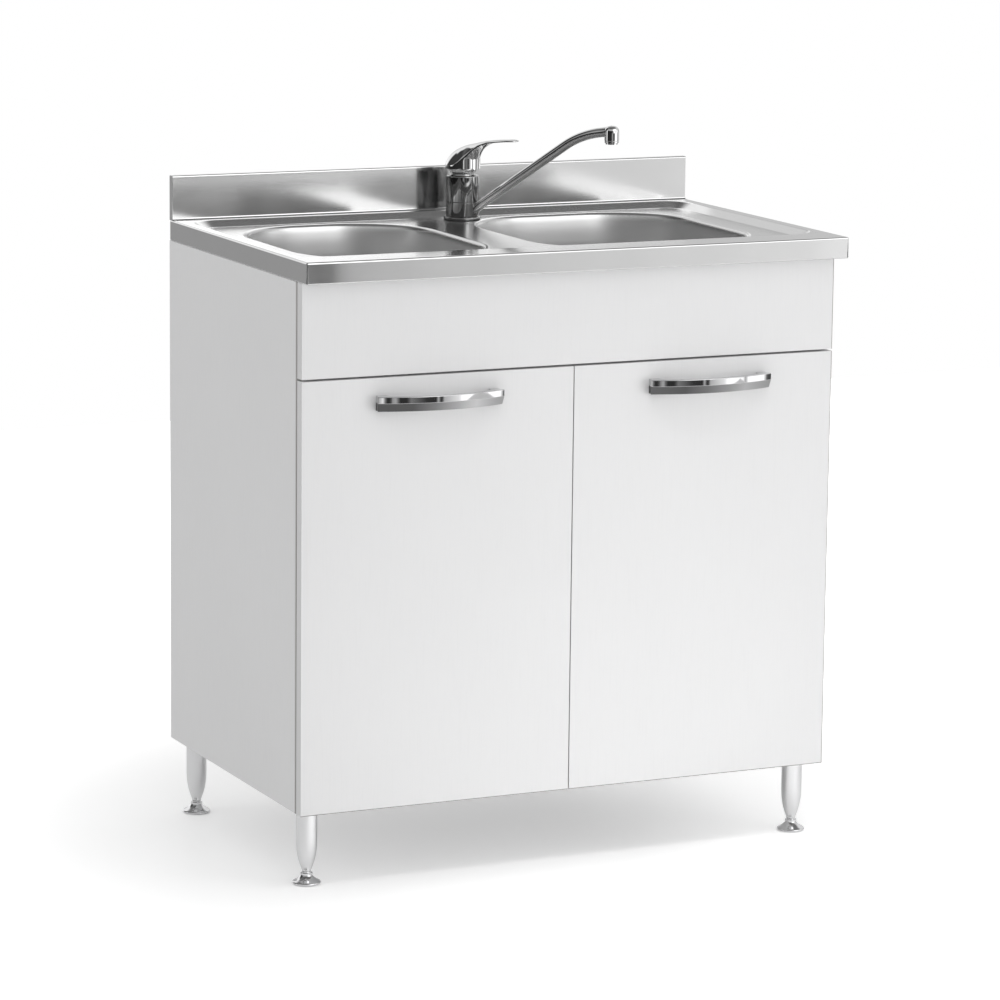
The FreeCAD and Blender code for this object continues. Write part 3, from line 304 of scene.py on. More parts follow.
def pore_group():
    """Shared pores: noise drawn out along the grain; puts out its depth and a soft blotch."""
    group, entry, leave = number_group("pressed_pore", {"Density": 620.0, "Length": 0.035},
                                       ("Pore", "Blotch"))
    place = place_in(group)
    drawn = node(group, "CombineXYZ", [1.0, 1.0, entry.outputs["Length"]]).outputs[0]
    along = vectors(group, "MULTIPLY", place, drawn)
    fine = noise(group, along, entry.outputs["Density"], 2.0, 0.6)
    group.links.new(ramp(group, fine, [(0, 0), (0.52, 0), (0.66, 1), (1, 1)]),
                    leave.inputs["Pore"])
    group.links.new(noise(group, place, 3.0, 3.0, 0.5), leave.inputs["Blotch"])
    return group


def melamine(name, grey, roughness):
    """White board face: pores a touch darker and rougher, and a hardly visible blotch."""
    made = material(name, grey, roughness, Specular_IOR_Level=0.4)
    tree = made.node_tree
    pore, blotch = node(tree, "Group", node_tree=PORES).outputs
    worn = maths(tree, "MULTIPLY_ADD", blotch, 0.05, 0.975)
    shade = maths(tree, "MULTIPLY_ADD", pore, -0.012, worn)
    tint = vectors(tree, "MULTIPLY", (grey, grey, grey * 1.004), shade)
    rough = maths(tree, "MULTIPLY_ADD", pore, 0.12, roughness)
    relief = bumped(tree, pore, PORE_DEPTH, 0.35, invert=True)
    feed(made, Base_Color=tint, Roughness=rough, Normal=relief)
    return made


def softened(name, paint, edge):
    """Copy of a CAD node with merged points and lightly rounded edges, in its own finish."""
    source = nodes[name]
    mesh = source.data.copy()
    work = bmesh.new()
    work.from_mesh(mesh)
    bmesh.ops.remove_doubles(work, verts=work.verts, dist=1e-6)
    bmesh.ops.dissolve_limit(work, angle_limit=0.01, verts=work.verts, edges=work.edges)
    work.to_mesh(mesh)
    work.free()
    if "custom_normal" in mesh.attributes:
        mesh.attributes.remove(mesh.attributes["custom_normal"])
    mesh.materials.clear()
    mesh.materials.append(paint)
    mesh.shade_smooth()
    piece = bpy.data.objects.new("dressed_" + name, mesh)
    bpy.context.scene.collection.objects.link(piece)
    eased = piece.modifiers.new("eased_edges", "BEVEL")
    eased.width, eased.segments, eased.limit_method = edge / 1000, 2, "ANGLE"
    eased.angle_limit = np.radians(35)
    even = piece.modifiers.new("even_normals", "WEIGHTED_NORMAL")
    even.weight, even.keep_sharp = 100, True
    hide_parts(name)
    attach(piece, source["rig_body"])
    return piece


PORES = pore_group()
CARCASS_FACE = melamine("carcass_melamine", BOARD_WHITE, 0.42)
FRONT_FACE = melamine("front_melamine", FRONT_WHITE, 0.38)
for board in ("left_side_panel", "right_side_panel", "floor_board", "front_rail", "back_rail",
              "back_board"):
    softened(board, CARCASS_FACE, 0.3 if board == "back_board" else LIPPING)
# Painted shade: a dark grey hair along the fronts' right-hand and lower edges, where they turn away
# into shade, and a grey band on the two outer sides by their front edges, for the shaded gap beside
# the doors. Each line says: finish, the board that it is measured on, the axis of its second edge,
# how the two edges join, width and grey.
for paint, board, axis, join, width, grey in (
        (FRONT_FACE, "right_door", 2, "MAXIMUM", SHADE_LINE, (0.27, 0.255, 0.245, 1)),
        (CARCASS_FACE, "right_side_panel", 1, "MINIMUM", SHADE_BAND, (0.48, 0.47, 0.46, 1))):
    tree = paint.node_tree
    plain = tree.nodes["Principled BSDF"].inputs["Base Color"].links[0].from_socket
    corners = np.array([list(corner) for corner in nodes[board].bound_box])
    side, edge = corners[:, 0].max(), corners[:, axis].min()
    axes = node(tree, "SeparateXYZ", [place_in(tree)]).outputs
    across = axes[0]
    if paint is CARCASS_FACE:
        across = maths(tree, "ABSOLUTE", across)
    beside = ranged(tree, across, side - SHADE_LINE, side - 0.8 * SHADE_LINE, 0.0, 1.0)
    before = ranged(tree, axes[axis], edge + width, edge + 0.8 * width, 0.0, 1.0)
    shaded_strip = maths(tree, join, beside, before)
    shade_lined = node(tree, "Mix", {0: shaded_strip, 6: plain, 7: grey}, data_type="RGBA").outputs[2]
    feed(paint, Base_Color=shade_lined)
# Painted shade: the fronts' upright edges take a darker grey than their faces, for the shade they
# lie in
SHADED_EDGE_FACE = melamine("front_edge_painted_shade", 0.66, 0.46)
for board in ("fascia_panel", "left_door", "right_door"):
    front = softened(board, FRONT_FACE, LIPPING)
    front.data.materials.append(SHADED_EDGE_FACE)
    for face in front.data.polygons:
        face.material_index = int(abs(face.normal.x) > 0.9 and face.area > 0.001)


# ------------------------------------------------------------------ sink top
# One sheet of stainless steel, 1.2 mm thick: folded down all round, pressed to a shallow tray
# and deep-drawn into two bowls. The rims are bright, the bowls satin from the drawing.

SINK_X, SINK_Y, SINK_END = (-399.8, 399.8), (-241.5, 258.2), 400.0
SINK_FOOT, SINK_RIM, DECK = 813.0, 842.0, 833.0
TRAY_X, TRAY_Y, TRAY_CORNER = (-385.0, 385.0), (-187.5, 235.5), 42.0
BOWLS = {"left": (-344.0, -72.0), "right": (2.0, 328.0)}
BOWL_Y, BOWL_CORNER, BOWL_FLOOR, BOWL_FOOT = (-168.5, 203.5), 112.0, 683.0, 28.0
DRAIN_HOLE, DIVIDER, SHEET = 43.9, -34.5, 1.2
CORNER_PULL, CORNER_PULL_REACH = 0.8, 28.0     # the front skirt is drawn in near its corners


def rounded(points, trim, steps=4):
    """Polyline with its inner corners eased: each is left trim before and met trim after, along a
    quadratic curve pulled towards it. trim is one length or one for each inner corner. Points run
    along the first axis; further axes hold more such lines, all eased alike."""
    p = np.asarray(points, float)
    before, after = p[:-2] - p[1:-1], p[2:] - p[1:-1]
    back = np.linalg.norm(before, axis=-1, keepdims=True)
    ahead = np.linalg.norm(after, axis=-1, keepdims=True)
    trims = np.broadcast_to(trim, len(p) - 2).reshape(-1, *[1] * (p.ndim - 1))
    cut = np.minimum(trims, 0.49 * np.minimum(back, ahead))
    start = p[1:-1] + before / np.maximum(back, 1e-9) * cut
    end = p[1:-1] + after / np.maximum(ahead, 1e-9) * cut
    s = np.linspace(0, 1, steps + 1).reshape(1, -1, *[1] * (p.ndim - 1))
    start, pull, end = start[:, None], p[1:-1][:, None], end[:, None]
    curves = (1 - s) ** 2 * start + 2 * s * (1 - s) * pull + s ** 2 * end
    return np.concatenate([p[:1], curves.reshape(-1, *p.shape[1:]), p[-1:]])


def flowing(points, steps=6):
    """Smooth line through points: between two neighbours, a cubic whose slope at each is half
    the step from the point before it to the point after it."""
    p = np.asarray(points, float)
    p = np.vstack([2 * p[0] - p[1], p, 2 * p[-1] - p[-2]])
    t = np.linspace(0, 1, steps, endpoint=False)[None, :, None]
    a, b, c, d = p[:-3, None], p[1:-2, None], p[2:-1, None], p[3:, None]
    line = b + 0.5 * t * (c - a + t * (2 * a - 5 * b + 4 * c - d + t * (3 * (b - c) + d - a)))
    return np.vstack([line.reshape(-1, p.shape[1]), p[-2:-1]])


def half_edge(side, inset, corner, height, xs, ys, seam=0.0):
    """Left or right half of a rectangle with round corners, from the divider and back to it,
    anticlockwise seen from above; inset moves it in, seam dents the two corners."""
    out = -1 if side == "left" else 1
    x, y0, y1 = (xs[0] + inset if side == "left" else xs[1] - inset), ys[0] + inset, ys[1] - inset
    along, turn, reach = np.linspace(0, 1, 24), np.linspace(0, np.pi / 2, 15), np.linspace(0, 1, 36)
    dent = corner - seam * np.maximum(0, 1 - np.abs(turn - np.pi / 4) / 0.5)
    cx = x - out * corner
    back = np.stack([DIVIDER + (cx - DIVIDER) * along, np.full(24, y1)], -1)
    back_corner = np.stack([cx + out * dent * np.sin(turn), y1 - corner + dent * np.cos(turn)], -1)
    flank = np.stack([np.full(36, x), y1 - corner + (y0 - y1 + 2 * corner) * reach], -1)
    front_corner = np.stack([cx + out * dent * np.cos(turn), y0 + corner - dent * np.sin(turn)], -1)
    front = np.stack([cx + (DIVIDER - cx) * along, np.full(24, y0)], -1)
    path = np.vstack([back, back_corner[1:], flank[1:], front_corner[1:], front[1:]])
    path = path if side == "left" else path[::-1]
    return np.column_stack([path, np.full(len(path), height)])


def bowl_ring(xs, grow, angle):
    """Where rays at these angles from a bowl's centre meet its outline, a rectangle with round
    corners moved out by grow: on a side by that side's distance, else on the corner's circle."""
    a, b = (xs[1] - xs[0]) / 2 + grow, (BOWL_Y[1] - BOWL_Y[0]) / 2 + grow
    r = BOWL_CORNER + grow
    c, s = np.abs(np.cos(angle)), np.abs(np.sin(angle))
    on_side, on_end = a / np.maximum(c, 1e-9), b / np.maximum(s, 1e-9)
    lean = (a - r) * c + (b - r) * s
    on_corner = lean + np.sqrt(np.maximum(lean ** 2 - (a - r) ** 2 - (b - r) ** 2 + r ** 2, 0))
    reach = np.where(on_end * c <= a - r, on_end, on_corner)
    reach = np.where(on_side * s <= b - r, on_side, reach)
    return reach[:, None] * np.stack([np.cos(angle), np.sin(angle)], -1)


def between(first, last, shares):
    """Rings that go over from one ring of points to another by these shares."""
    return first + (last - first) * np.asarray(shares)[:, None, None]


def rim_patch(side):
    """Fold, skirt, top edge, flat rim and the slope down into the tray, row by row."""
    fold = rounded([(12, SINK_FOOT), (0, SINK_FOOT), (0, SINK_RIM), (6, SINK_RIM)], [1.4, 3.2], 6)
    outer = [half_edge(side, i, 2.2, h, SINK_X, SINK_Y, 1.9 * (i < 0.1)) for i, h in fold]
    for row in outer:
        beside = np.abs(row[:, 0]) - SINK_END
        low = np.clip((SINK_RIM - row[:, 2]) / 20, 0, 1)
        front = row[:, 1] < SINK_Y[0] + 1
        pull = CORNER_PULL * (0.4 + 0.6 * low) * np.exp(-((beside + 2) / CORNER_PULL_REACH) ** 2)
        row[front, 1] += pull[front]
    slope = rounded([(-5, SINK_RIM), (0, SINK_RIM), (14, DECK), (15.6, DECK)], [2.6, 1.5], 6)
    inner = [half_edge(side, q, TRAY_CORNER - q, h, TRAY_X, TRAY_Y) for q, h in slope]
    flat = between(outer[-1], inner[0], np.linspace(0, 1, 7)[1:-1])
    return np.concatenate([outer, flat, inner])


def bowl_patch(side, tray_edge):
    """Deck round a bowl, its lip, drawn wall, round foot and dished floor, ring by ring."""
    xs = BOWLS[side]
    divider = np.linspace(tray_edge[-1], tray_edge[0], 30)[1:-1]
    edge = np.vstack([tray_edge, divider])
    middle = np.array([sum(xs) / 2, sum(BOWL_Y) / 2])
    angle = np.arctan2(*(edge[:, :2] - middle).T[::-1])
    lip = flowing([(5.5, 0), (3.0, -0.25), (0.8, -1.3), (-0.9, -3.5), (-2.1, -7), (-3.2, -13),
                   (-4.4, -24), (-5.6, -42)], 5) + (0, DECK)
    foot = rounded([(-5.6, DECK - 42), (-9.6, BOWL_FLOOR + 2.5), (-46, BOWL_FLOOR + 1.6)],
                   BOWL_FOOT, 12)
    rings = [np.column_stack([middle + bowl_ring(xs, grow, angle), np.full(len(angle), h)])
             for grow, h in np.vstack([lip, foot[1:-1]])]
    hole = middle + DRAIN_HOLE * np.stack([np.cos(angle), np.sin(angle)], -1)
    hole = np.column_stack([hole, np.full(len(angle), BOWL_FLOOR)])
    deck = between(edge, rings[0], np.linspace(0, 1, 6)[:-1])
    floor = between(rings[-1], hole, np.linspace(0, 1, 9)[1:])
    return np.concatenate([deck, rings, floor])


def steel_group():
    """Shared steel: a slow waviness of the sheet, a fine rolled grain and a soft cloudiness."""
    group, entry, leave = number_group("sheet_steel", {"Wave size": 7.0, "Grain": 900.0},
                                       ("Wave", "Grain", "Cloud"))
    place = place_in(group)
    wave = noise(group, place, entry.outputs["Wave size"], 1.0, 0.4)
    drawn = vectors(group, "MULTIPLY", place, (0.03, 1.0, 1.0))
    grain = noise(group, drawn, entry.outputs["Grain"], 2.0, 0.5)
    cloud = noise(group, place, 18.0, 3.0, 0.55)
    for name, source in (("Wave", wave), ("Grain", grain), ("Cloud", cloud)):
        group.links.new(source, leave.inputs[name])
    return group


def steel(name, grey, roughness, wave=0.0003, grain=0.000003, satin=False):
    """Stainless steel, bright on the rims. Where satin is set, the mesh's own attribute drawn turns
    it paler and rougher, as deep drawing leaves it."""
    made = material(name, grey, roughness, 1.0)
    tree = made.node_tree
    wavy, grainy, cloudy = node(tree, "Group", node_tree=STEEL).outputs
    streak = maths(tree, "MULTIPLY_ADD", grainy, 0.05, roughness - 0.05)
    rough = maths(tree, "MULTIPLY_ADD", cloudy, 0.05, streak)
    shade = maths(tree, "MULTIPLY_ADD", cloudy, 0.06, 0.97)
    tint = vectors(tree, "MULTIPLY", (grey, grey, grey), shade)
    if satin:
        down = node(tree, "Attribute", attribute_name="drawn").outputs["Fac"]
        rough = maths(tree, "MULTIPLY_ADD", down, 0.26, rough)
        pale = ranged(tree, down, 0.35, 1.0, 1.0, 0.98)
        tint = vectors(tree, "MULTIPLY", tint, pale)
        feed(made, Metallic=ranged(tree, down, 0.0, 1.0, 1.0, 0.9))
    lines = node(tree, "Bump", {"Strength": 1.0, "Distance": grain, "Height": grainy,
                                "Normal": bumped(tree, wavy, wave)})
    feed(made, Base_Color=tint, Roughness=rough, Normal=lines.outputs[0])
    return made


def set_out(piece, paint, body, slot, *replaced):
    """Gives a new piece its finish, its body and the CAD nodes that it stands for."""
    piece.data.materials.append(paint)
    even = piece.modifiers.new("even_normals", "WEIGHTED_NORMAL")
    even.weight, even.keep_sharp = 80, True
    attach(piece, body)
    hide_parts(*replaced)
    return piece


STEEL = steel_group()
SINK_STEEL = steel("sink_steel", 0.72, 0.10, satin=True)
SPLASH_STEEL = steel("splash_steel", 0.72, 0.13)
rims = {side: rim_patch(side) for side in ("left", "right")}
sink = skin("pressed_sink", [(rims[side], False, False) for side in rims]
            + [(bowl_patch(side, rims[side][-1]), False, True) for side in rims], sheet=True)
place = np.array([corner.co for corner in sink.data.vertices]) * 1000
inside = np.abs(place[:, 0]) < TRAY_X[1] - 1
inside &= (place[:, 1] > TRAY_Y[0] + 1) & (place[:, 1] < TRAY_Y[1] - 1)
drawn = inside * (0.35 + 0.65 * np.clip((DECK - 0.6 - place[:, 2]) / 9, 0, 1))
sink.data.attributes.new("drawn", "FLOAT", "POINT").data.foreach_set("value", drawn)
wall = sink.modifiers.new("sheet_thickness", "SOLIDIFY")
wall.thickness, wall.offset = SHEET / 1000, -1
set_out(sink, SINK_STEEL, "unit", "sink_steel", "sink_top", "left_bowl", "right_bowl")

# The backsplash is the same sheet folded up, over and down again, with closed ends
SPLASH_FRONT, SPLASH_BACK, SPLASH_TOP, SPLASH_FOOT = 247.5, 258.5, 904.0, 242.0
SPLASH_HEART = np.array([250.5, 841.6])    # the ends' faces meet here, within the folded outline
fold = rounded([(SPLASH_BACK, 860), (SPLASH_BACK, SPLASH_TOP), (SPLASH_FRONT, SPLASH_TOP),
                (SPLASH_FRONT, SINK_RIM + 0.1), (SPLASH_FOOT, SINK_RIM + 0.1),
                (SPLASH_FOOT, SINK_RIM - 0.8), (SPLASH_BACK, SINK_RIM - 0.8), (SPLASH_BACK, 858)],
               [2.5, 2.5, 4.5, 0.1, 0.1, 0.5], 8)
run = np.roll(fold, -1, 0) - np.roll(fold, 1, 0)
inward = np.stack([-run[:, 1], run[:, 0]], -1) / np.linalg.norm(run, axis=1, keepdims=True)
# towards an end: (left from the end, left from the outline), so that its edge is rounded
ease = [(0.45, 0.0), (0.2, 0.08), (0.08, 0.2), (0.0, 0.45)]
end = [(SINK_END - left, fold + inward * shrink) for left, shrink in ease]
end += [(SINK_END, fold * 0 + SPLASH_HEART)]
middle = [(x, fold) for x in np.linspace(1 - SINK_END, SINK_END - 1, 21)]
stations = [(-x, ring) for x, ring in end[::-1]] + middle + end
splash = np.stack([np.column_stack([np.full(len(ring), x), ring]) for x, ring in stations])
splash = skin("backsplash", [(splash, False, True)])
set_out(splash, SPLASH_STEEL, "unit", "sink_steel", "sink_top")


# ------------------------------------------------------------------ handles
# Bow handles, die-cast and chromed: a bar bent to an arc in plan with a crease along its
# front, mirror-bright above it and leaning back below, and a solid foot at either end.

HANDLE_LENGTH, HANDLE_REACH, HANDLE_END, HANDLE_BAR, HANDLE_FOOT = 182.0, 32.0, 14.0, 8.0, 15.0
HANDLE_LOW, HANDLE_HIGH, HANDLE_CREASE, DOOR_FRONT = 641.0, 661.0, 652.0, -226.5
HANDLE_TINT, HANDLE_DULL, RIPPLE_DEPTH = (0.64, 0.64, 0.646), 0.26, 0.00002
HANDLES = {"left": -207.5, "right": 192.5}
HANDLE_STEP = HANDLES["right"] - HANDLES["left"]


def bow_handle(name, middle):
    """The bar's outline, a closed run of (set-back, height) points, carried along an arc in plan.
    Near either end the back of the outline goes over from the bar's back to the door's face."""
    rise = HANDLE_REACH - HANDLE_END
    bow = ((HANDLE_LENGTH / 2) ** 2 + rise ** 2) / (2 * rise)
    half = np.arcsin(HANDLE_LENGTH / 2 / bow)
    foot = np.arcsin((HANDLE_LENGTH / 2 - HANDLE_FOOT) / bow)
    turn = np.concatenate([np.linspace(*run) for run in (
        (-half, -foot - 0.01, 8), (-foot - 0.008, -foot + 0.008, 10),
        (-foot + 0.01, foot - 0.01, 60), (foot - 0.008, foot + 0.008, 10), (foot + 0.01, half, 8))])
    front = rounded([(HANDLE_BAR, HANDLE_LOW), (3.6, HANDLE_LOW), (0, HANDLE_CREASE),
                     (0, HANDLE_HIGH), (HANDLE_BAR, HANDLE_HIGH)], [0.9, 0.5, 1.1], 5)
    centre = DOOR_FRONT - HANDLE_REACH + bow
    solid = np.clip((np.abs(turn) - foot) / 0.012 + 0.5, 0, 1)
    solid = (solid ** 2 * (3 - 2 * solid))[:, None]
    reach = bow - front[:, 0]
    along, depth = reach * np.sin(turn)[:, None], centre - reach * np.cos(turn)[:, None]
    back = np.full((1, 9), bow - HANDLE_BAR)
    back_along, back_depth = back * np.sin(turn)[:, None], centre - back * np.cos(turn)[:, None]
    back_depth = back_depth + solid * (DOOR_FRONT - back_depth)
    back_height = np.linspace(HANDLE_HIGH, HANDLE_LOW, 9)
    height = np.concatenate([front[:, 1], back_height])
    ring = np.stack([middle + np.hstack([along, back_along]), np.hstack([depth, back_depth]),
                     np.broadcast_to(height, (len(turn), len(height)))], -1)
    ends = ring[[0, -1]].mean(1, keepdims=True) + 0 * ring[[0, -1]]
    bar = skin(name, [(np.concatenate([ends[:1], ring, ends[1:]]), False, True)])
    eased = bar.modifiers.new("eased_ends", "BEVEL")
    eased.width, eased.segments, eased.limit_method = 0.0009, 3, "ANGLE"
    eased.angle_limit = np.radians(40)
    return bar


def chrome(name, grey, roughness):
    """Polished plating: a soft wipe mark here and there, and the faintest ripple."""
    made = material(name, (grey, grey, grey * 1.01), roughness, 1.0)
    tree = made.node_tree
    wavy, _, cloudy = node(tree, "Group", {"Wave size": 45.0}, node_tree=STEEL).outputs
    rough = maths(tree, "MULTIPLY_ADD", cloudy, 0.05, roughness - 0.02)
    feed(made, Roughness=rough, Normal=bumped(tree, wavy, RIPPLE_DEPTH))
    return made


HANDLE_CHROME = chrome("handle_chrome", HANDLE_TINT[0], 0.03)
tree = HANDLE_CHROME.node_tree
across, _, height = node(tree, "SeparateXYZ", [place_in(tree)]).outputs
crease = HANDLE_CREASE / 1000
below = ranged(tree, height, crease + 0.0003, crease - 0.0003, 0.0, 1.0)
polish = tree.nodes["Principled BSDF"].inputs["Roughness"].links[0].from_socket
rough = maths(tree, "MULTIPLY_ADD", below, HANDLE_DULL, polish)
# the doors stand HANDLE_STEP apart, so one wrapped run serves both handles: 0 left end, 1 right
moved = maths(tree, "ADD", across, -HANDLES["left"] / 1000)
along = maths(tree, "WRAP", moved, HANDLE_STEP / 2000, -HANDLE_STEP / 2000)
along = ranged(tree, along, -HANDLE_LENGTH / 2000, HANDLE_LENGTH / 2000, 0.0, 1.0)
# Painted reflection: below the crease the tint runs from dark at the left end to light towards the
# right, for the room it would mirror
painted_reflection = ramp(tree, along, [(0, 0.16), (0.25, 0.13), (0.42, 0.25), (0.60, 0.5), (0.75, 0.85),
                             (1, 0.62)])
reflection_tint = node(tree, "Mix", {0: below, 6: (1, 1, 1, 1), 7: painted_reflection}, data_type="RGBA").outputs[2]
tint = vectors(tree, "MULTIPLY", HANDLE_TINT, reflection_tint)
feed(HANDLE_CHROME, Base_Color=tint, Roughness=rough)
for side, middle in HANDLES.items():
    set_out(bow_handle("bow_handle_" + side, middle), HANDLE_CHROME, side + "_door_leaf",
            "handle_chrome", side + "_handle")


# ------------------------------------------------------------------ legs and feet
# Slim turned legs in glossy silver lacquer, full at the top and drawn in to a narrow neck. Each
# stands on a chromed bell foot, whose threaded stem screws up into the leg to level the unit.

LEG_PLACES = {"front_left": (-375.0, -186.5), "front_right": (360.0, -186.5),
              "back_left": (-375.0, 223.0), "back_right": (360.0, 223.0)}
LEG_TINT = (0.86, 0.862, 0.868)


def turned(x, y, profile, steps=72):
    """Turned shape: each (radius, height) of the profile carried round the upright through x, y."""
    angle = np.linspace(0, 2 * np.pi, steps, endpoint=False)
    radius, height = np.asarray(profile, float).T
    ring = np.stack([np.outer(radius, np.cos(angle)) + x, np.outer(radius, np.sin(angle)) + y], -1)
    return np.dstack([ring, np.broadcast_to(height[:, None], ring.shape[:2])])


def threaded(x, y, radius, low, high, pitch=1.25, depth=0.45, steps=28):
    """Threaded rod: the radius dips by depth once a pitch, and the dip climbs with the angle."""
    angle = np.linspace(0, 2 * np.pi, steps, endpoint=False)
    height = np.linspace(low, high, int((high - low) / pitch * 6))[:, None]
    groove = np.abs(((height / pitch - angle / (2 * np.pi)) % 1) * 2 - 1)
    r = radius - depth * groove
    return np.stack([x + r * np.cos(angle), y + r * np.sin(angle), height + 0 * r], -1)


LEG_SILVER = material("leg_silver", 0.60, 0.24, 0.8, Coat_Weight=0.6, Coat_Roughness=0.06)
tree = LEG_SILVER.node_tree
flake = noise(tree, place_in(tree), 2500.0, 1.0, 0.5)
glint = maths(tree, "MULTIPLY_ADD", flake, 0.08, 0.96)
silver = vectors(tree, "MULTIPLY", LEG_TINT, glint)
feed(LEG_SILVER, Base_Color=silver)
FOOT_CHROME = chrome("foot_chrome", 0.84, 0.05)
leg_side = flowing([(6.2, 17.6), (6.7, 19.5), (7.9, 22.5), (9.0, 25.5), (10.7, 31), (12.2, 37),
                    (13.6, 46), (14.2, 56), (14.3, 66), (14.3, 84), (14.3, 102.4)])
bell = flowing([(19.2, 1.3), (19.4, 2.6), (18.7, 3.7), (16.9, 4.8), (14.4, 6.1), (12.0, 7.6),
                (10.0, 9.3), (8.4, 11.2), (7.7, 12.6)])
collar = rounded([(7.7, 12.6), (8.4, 13.0), (8.4, 15.2), (6.2, 15.6), (6.2, 17.0), (3.9, 17.0)],
                 0.35, 3)
for name, (x, y) in LEG_PLACES.items():
    leg = rounded([(0, 17.4), (6.1, 17.4), *leg_side, (13.9, 103), (0, 103)],
                  [0.3] * (len(leg_side) + 2), 1)
    leg = skin("turned_leg_" + name, [(turned(x, y, leg), False, True)])
    set_out(leg, LEG_SILVER, "unit", "leg_silver", name + "_leg")
    foot = np.vstack([[(0, 0), (17.4, 0), (18.6, 0.4)], bell, collar[1:]])
    foot = skin("bell_foot_" + name, [(turned(x, y, foot), False, True),
                                      (threaded(x, y, 4.0, 16.9, 70.0), False, True)])
    set_out(foot, FOOT_CHROME, name + "_levelling_foot", "foot_chrome", name + "_foot")


# ------------------------------------------------------------------ mixer tap
# Cast brass, polished and chromed: a base ring, a body that holds the cartridge, a swivelling
# collar with the long slim spout, a ball cap, and a hollow lever that turns and tilts on top.

TAP_X, TAP_Y, TAP_RADIUS, POST_RADIUS, COLLAR_BORE = 18.0, 195.5, 23.5, 17.2, 17.1
COLLAR_LOW, COLLAR_HIGH, BODY_TOP, BALL_HEIGHT = 5.0, 25.6, 62.5, 76.0
SHANK_RADIUS, SHANK_LOW, CARTRIDGE_RADIUS = 16.5, -58.0, 16.5
SPOUT_TURN, SPOUT_RADIUS, SPOUT_STRAIGHT, SPOUT_BEND = -54.0, 6.7, 175.0, 130.0
SPOUT_CLIMB, SPOUT_LEVEL, OUTLET_REACH, OUTLET_RADIUS, OUTLET_LOW = 34.3, 9.0, 237.0, 10.2, 122.0
CLIMB_STEPS, LEVEL_STEPS, SPOUT_FLARE, OUTLET_FLARE = 60, 8, 3.2, 1.05
NOSE_DROP, NOSE_RISE = 2.4, 9.84
LEVER_TURN, SKIRT_RADIUS, SKIRT_LOW, LEVER_TIP, TIP_RADIUS = -60.0, 24.8, 71.4, 84.0, 10.0
BLADE_X, BLADE_Y, BLADE_HEIGHT = 15.6, 19.28, 88.0     # where the blade leaves the lever's skirt
BALL_RADIUS, SEAT_RADIUS = 20.0, 20.4
TAP_SHADE_GREY, TAP_BRIGHT = 0.34, 0.80


def swung(points, degrees):
    """Points given as (along, across, height above the deck), turned about the tap's axis."""
    along, across, height = np.moveaxis(np.asarray(points, float), -1, 0)
    c, s = np.cos(np.radians(degrees)), np.sin(np.radians(degrees))
    x, y = TAP_X + along * c - across * s, TAP_Y + along * s + across * c
    return np.stack([x, y, DECK + height], -1)


def on_tap(profile, along=0.0, degrees=0.0, steps=96):
    """Turned shape about an upright that stands at a reach along from the tap's own axis."""
    shape = turned(along, 0, profile, steps)
    return swung(shape, degrees)


def spout_tube():
    """The spout's line is a straight climb, an arc and a straight again, in an upright plane. A
    circle is carried along it square to the line, and widens where it leaves the collar."""
    climb, level = np.radians(SPOUT_CLIMB), np.radians(SPOUT_LEVEL)
    rising, settled = (np.array([np.cos(lean), np.sin(lean)]) for lean in (climb, level))
    first = np.linspace(0, 1, CLIMB_STEPS)[:, None] ** 1.6 * SPOUT_STRAIGHT
    start = np.array([19.0, 15.2])
    turn = np.linspace(climb, level, 30)[1:]
    centre = start + rising * SPOUT_STRAIGHT + SPOUT_BEND * rising[::-1] * (1, -1)
    bend = centre + SPOUT_BEND * np.stack([-np.sin(turn), np.cos(turn)], -1)
    run = (OUTLET_REACH - bend[-1, 0]) / np.cos(level)
    last = bend[-1] + np.linspace(0.1, 1, LEVEL_STEPS)[:, None] * run * settled
    line = np.vstack([start + first * rising, bend, last])
    slope = np.concatenate([np.full(CLIMB_STEPS, climb), turn, np.full(LEVEL_STEPS, level)])
    gone = np.concatenate([first[:, 0], np.full(len(line) - CLIMB_STEPS, SPOUT_STRAIGHT)])
    radius = SPOUT_RADIUS + SPOUT_FLARE * np.exp(-gone / 4.5)
    radius[-LEVEL_STEPS:] += np.linspace(0, 1, LEVEL_STEPS) ** 2 * OUTLET_FLARE
    radius = radius[:, None]
    angle = np.linspace(0, 2 * np.pi, 40, endpoint=False)
    lift = radius * np.sin(angle)
    points = np.stack([line[:, :1] - lift * np.sin(slope)[:, None], radius * np.cos(angle),
                       line[:, 1:] + lift * np.cos(slope)[:, None]], -1)
    return swung(points, SPOUT_TURN), line[-1, 1]


